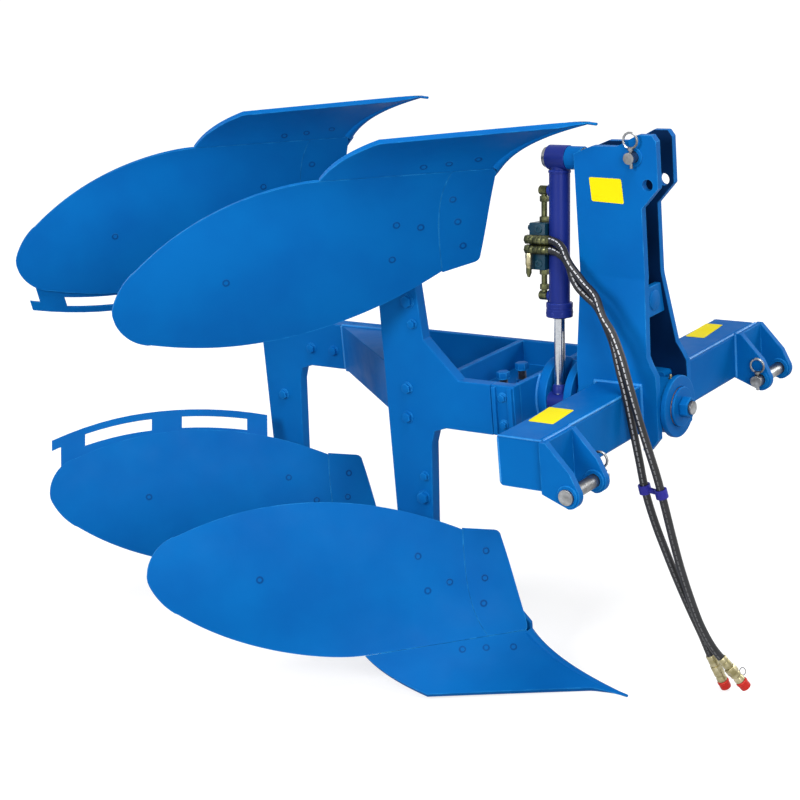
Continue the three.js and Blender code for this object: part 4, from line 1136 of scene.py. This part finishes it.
def swivel_forms(height):
    at = along_cylinder((valve_rear, port_y, height), (1, 0, 0))
    banjo = along_cylinder((valve_rear + 11, port_y, height), (0, 1, 0))
    return [(hexagon(10.9, 0, 13), at), (turned(swivel, 24), at),
            (turned([(0, -2), (8.8, -2), (8.8, 14), (0, 14)], 20), banjo)]


pipes = pipe_forms(valve_top, pipe_heights[0]) + pipe_forms(valve_bottom, pipe_heights[1])
assemble("valve_pipes", pipes, dark_zinc, "cylinder")
assemble("swivel_fittings", [form for height in port_heights for form in swivel_forms(height)], dark_zinc, "cylinder")
hanging = along_cylinder((valve_rear + 8, port_y, port_heights[1] - 9), (0, 0, -1))
assemble("relief_body", [(turned(relief, 24), hanging), (hexagon(8.6, 3, 12, 0.8), hanging)], zinc, "cylinder")
assemble("relief_cap", [(turned(relief_cap, 24), hanging)], dark_zinc, "cylinder")
print("swivel fittings reach", round(port_reach, 1), "mm ahead of the valve's rear")

# %% [markdown]
# Each hose is crimped into a ferrule where it leaves its fitting. The ferrules lie on the first straight
# stretch of the hose and swing with the valve.

# %% Ferrules at the valve
crimped = [(9.1, 0), (10.4, 0), (11, 1.5), (11, 8), (10.2, 10), (11, 12), (11, 20), (10.2, 22), (11, 24),
           (10.6, 29), (9.1, 30)]
for name, route in routes.items():
    at = facing(route[0], route[1] - route[0])
    assemble(f"{name}_hose_ferrule", [(ring(crimped, 24), at)], dark_zinc, "cylinder")
    print(name, "ferrule at", [round(v, 3) for v in route[0]])

# %% [markdown]
# ## Headstock details
# The clevis cheeks have a welded boss ring round each pin hole, which takes the wear. A sleeve keeps the
# cylinder off the mast, the hub has grease nipples on top, and the mast's tie carries a round plug.

# %% Boss rings, sleeve, plug and nipples
hitch_z, link_x, link_z = -43, -71, 565
hitch_faces, link_faces = ((379, -1), (395, 1), (485, -1), (501, 1)), ((45, 1), (27, -1))
tie_plug_place, sleeve_place = (-62, 0, 240), (-221, 0, 550)
nipple_places = ((-30, 0, 61), (-225, 0, 61))
hitch_boss = [(14.8, -0.5), (24, -0.5), (24, 2), (22.8, 3), (16, 3), (14.8, 2)]
link_boss = [(13.2, -0.5), (21, -0.5), (21, 1.6), (20, 2.4), (13.2, 2.4)]
tie_plug = [(0, 0), (22, 0), (22, 1.6), (20.5, 2.6), (0, 2.6)]
sleeve = [(23.05, -38.6), (25.4, -38.6), (26, -38), (26, -1), (25.4, -0.4), (23.05, -0.4)]
nipple = [(0, 0), (5, 0), (5, 3), (3.4, 4), (3.4, 7), (2, 8), (3, 9.6), (2.2, 11.4), (0, 11.8)]
wear_forms = [(turned(tie_plug, 36), facing(place(*tie_plug_place), (1, 0, 0))),
              (ring(sleeve, 40), facing(place(*sleeve_place), (1, 0, 0)))]
for side in (-1, 1):
    for y, way in hitch_faces:
        wear_forms.append((ring(hitch_boss, 32), facing(place(0, side * y, hitch_z), (0, side * way, 0))))
    for y, way in link_faces:
        wear_forms.append((ring(link_boss, 32), facing(place(link_x, side * y, link_z), (0, side * way, 0))))
assemble("wear_rings", wear_forms, frame_blue, "headstock")
nipples = [(turned(nipple, 16), facing(place(*at), (0, 0, 1))) for at in nipple_places]
assemble("grease_nipples", nipples, zinc, "headstock")
print("forms on the headstock:", len(wear_forms) + len(nipples))

# %% [markdown]
# ## Weld beads
# Every joint of the real frame shows a rippled bead. A bead is a thin tube along the joint whose radius
# swells with each ripple, half sunk into the corner between the two plates. Beads stand proud and their paint
# is glossier; its lighter colour is a painted highlight along the beads.

# %% Beads of the headstock
bead_step, bead_sides = 2.4, 8
ripple = (0.94, 1.0, 1.06, 1.0)


def bead(radius, points):
    route = []
    for start, end in zip(points, points[1:]):
        count = max(2, round((end - start).length / (bead_step * MM)))
        route += [start.lerp(end, k / count) for k in range(count)]
    route.append(points[-1])
    way = (route[1] - route[0]).normalized()
    upward = (0, 0, 1) if abs(way.z) < 0.9 else (1, 0, 0)
    return tube(route, [radius * swell for swell in ripple], bead_sides, upward=upward), as_made


def side_beads(side):
    foot, inner, outer = side * 81, side * 380, side * 484
    lines = [
        (4, [(-176, foot, -44), (-176, foot, 66), (-60, foot, 66), (-60, foot, -60)]),
        (3, [(-64.5, side * 84, 62.5), (-64.5, side * 377, 62.5)]),
        (3.4, [(-60, inner, 63.5), (-60, outer, 63.5)]),
        (3.4, [(-61, side * 378.5, 62), (-61, side * 378.5, -45)]),
        (2.4, [(-171, outer, 62), (-65, outer, 62)]),
        (2.4, [(-171.5, outer, 58), (-171.5, outer, -40)]),
        (3, [(-220.5, side * 27, 152), (-220.5, side * 27, 566)]),
    ]
    return [bead(radius, [place(*point) for point in line]) for radius, line in lines]


assemble("headstock_welds", side_beads(-1) + side_beads(1), bead_highlight_blue, "headstock", smooth_angle=math.pi)
print("a ripple every", bead_step * len(ripple), "mm")

# %% [markdown]
# On the turning frame the beads run where the standards and the far plate meet the cross walls and the
# beam, and round the upper and lower arcs of the crank's disc on the front plate.

# %% Beads of the turning frame
disc_x, disc_radius, arc_steps = -333, 86, 24
near_side, beam_end = -147, 143.5


def arc(start, end):
    turns = [math.radians(start + (end - start) * k / arc_steps) for k in range(arc_steps + 1)]
    return [place(disc_x, disc_radius * math.cos(turn), disc_radius * math.sin(turn)) for turn in turns]


def frame_beads():
    beads = [bead(4, arc(start, end)) for start, end in ((-44, 44), (136, 224))]
    for z in (-61, 61):
        for start, end, y in ((-684, -553, near_side), (-1071, -940, beam_end)):
            beads.append(bead(3.4, [place(start, y, z), place(end, y, z)]))
    near_ones = [(x, near_side) for x in (-530, -546, -686, -551)]
    for x, y in (*near_ones, (-1073, beam_end), (-938, beam_end)):
        beads.append(bead(3.2, [place(x, y, -58), place(x, y, 58)]))
    return beads


turning_beads = frame_beads()
# The turning frame's beads also take the lighter blue, which is a painted highlight.
assemble("frame_welds", turning_beads, bead_highlight_blue, "turning_frame", smooth_angle=math.pi)
print("beads on the turning frame:", len(turning_beads))

# %% [markdown]
# ## Labels
# The yellow plates on the mast and on both arms of the crossbar are left bare. Each is a thin sticker with
# rounded corners: four corner vertices, bevelled, filled and given a small thickness.

# %% Bare labels
label_thickness, label_corner = 0.5, 4
mast_side, arm_top = -45.2, 65.1
label_places = {
    "mast_label": ((0, -1, 0), [(-184.6, mast_side, 517.8), (-104.9, mast_side, 516.1), (-100.5, mast_side, 461.6),
                                (-180.4, mast_side, 464.9)]),
    "right_arm_label": ((0, 0, 1), [(-158.7, -387.3, arm_top), (-168, -287.3, arm_top), (-106, -287.3, arm_top),
                                    (-97, -387.3, arm_top)]),
    "left_arm_label": ((0, 0, 1), [(-162, 318, arm_top), (-168, 440, arm_top), (-124, 440, arm_top),
                                   (-112, 318, arm_top)]),
}


def make_label(name, way, corners):
    shape = bmesh.new()
    made = [shape.verts.new(place(*corner)) for corner in corners]
    shape.faces.new(made)
    bmesh.ops.bevel(shape, geom=made, offset=label_corner * MM, segments=4, profile=0.5, affect="VERTICES",
                    material=-1)
    outer = bmesh.ops.extrude_face_region(shape, geom=shape.faces[:])["geom"]
    raised = [v for v in outer if isinstance(v, bmesh.types.BMVert)]
    bmesh.ops.translate(shape, verts=raised, vec=Vector(way) * label_thickness * MM)
    bmesh.ops.recalc_face_normals(shape, faces=shape.faces)
    finish_piece(name, shape, label_yellow, "headstock")


for name, (way, corners) in label_places.items():
    make_label(name, way, corners)
print("bare labels:", len(label_places))

# %% [markdown]
# ## Floor and light
# The photograph is a cut-out on white, lit with soft light. The floor is a large plain sheet. Light Path
# lets the camera and the reflections see it as white, while the sheet itself still takes the plough's
# shadow. Its own glow grows with the distance from the plough, so that it ends as pure white.

# %% Floor
floor_reach, floor_grey, floor_lift = 60, (0.42, 0.42, 0.42), 0.7
white_from, white_to = 1.6, 4.5
white = (1, 1, 1)


def seen_directly(tree):
    path = tree.nodes.new("ShaderNodeLightPath").outputs
    seen = calculate(tree, "MAXIMUM", path["Is Camera Ray"], path["Is Glossy Ray"])
    return calculate(tree, "MAXIMUM", seen, path["Is Transmission Ray"])


def make_floor():
    shape = bmesh.new()
    bmesh.ops.create_grid(shape, x_segments=1, y_segments=1, size=floor_reach)
    bmesh.ops.translate(shape, verts=shape.verts, vec=(0, 0, cad_box[0].z - MM / 2))
    mesh = bpy.data.meshes.new("floor")
    shape.to_mesh(mesh)
    shape.free()
    floor = bpy.data.objects.new("floor", mesh)
    scene.collection.objects.link(floor)
    material, tree, surface = start_material("pale floor")
    plain = {"Base Color": floor_grey, "Roughness": 1, "Specular IOR Level": 0, "Emission Color": white}
    for title, value in plain.items():
        feed(tree, value, surface[title])
    distance = wired(tree, "VectorMath", {0: on_object(tree)}, "Value", operation="LENGTH")
    lift = spread(tree, distance, white_from, white_to, floor_lift, 1)
    feed(tree, calculate(tree, "MULTIPLY", seen_directly(tree), lift), surface["Emission Strength"])
    mesh.materials.append(material)


make_floor()
print("floor:", floor_reach * 2, "m across")

# %% [markdown]
# The main light comes from the plough's right and a little above, which leaves the frame's bay in shade, as
# in the photograph. A lamp ahead and one overhead fill it, two more serve the left and the rear, and a faint
# even sky lifts what is left.

# %% Light
scene.view_settings.view_transform = "Standard"
lamp_table = [
    ("key", (-0.9, -4.6, 2.3), 1.6, 145),
    ("front", (3.4, -3.4, 1.8), 2.2, 125),
    ("top", (1.2, -1.2, 4.2), 2.0, 115),
    ("left", (-4.2, -0.8, 1.8), 2.2, 45),
    ("rear", (2.4, 4.2, 1.8), 2.4, 120),
]
sky_strength = 0.2
plough_middle = (cad_box[0] + cad_box[1]) / 2


def make_lamp(name, at, size, power):
    data = bpy.data.lights.new(name, "AREA")
    data.shape = "DISK"
    data.size = size
    data.energy = power
    lamp = bpy.data.objects.new(name, data)
    lamp.location = at
    lamp.rotation_euler = (plough_middle - Vector(at)).to_track_quat("-Z", "Y").to_euler()
    scene.collection.objects.link(lamp)


def make_sky():
    world = bpy.data.worlds.new("sky")
    scene.world = world
    world.use_nodes = True
    tree = world.node_tree
    sky = tree.nodes["Background"]
    feed(tree, sky_strength, sky.inputs["Strength"])
    feed(tree, white, sky.inputs["Color"])
    plain_white = wired(tree, "Background", {"Color": white}, "Background")
    mixed = wired(tree, "MixShader", {"Fac": seen_directly(tree), 1: sky.outputs[0], 2: plain_white}, "Shader")
    feed(tree, mixed, tree.nodes["World Output"].inputs["Surface"])


for lamp in lamp_table:
    make_lamp(*lamp)
make_sky()
print("lamps:", len(lamp_table), "with", sum(lamp[3] for lamp in lamp_table), "W together")
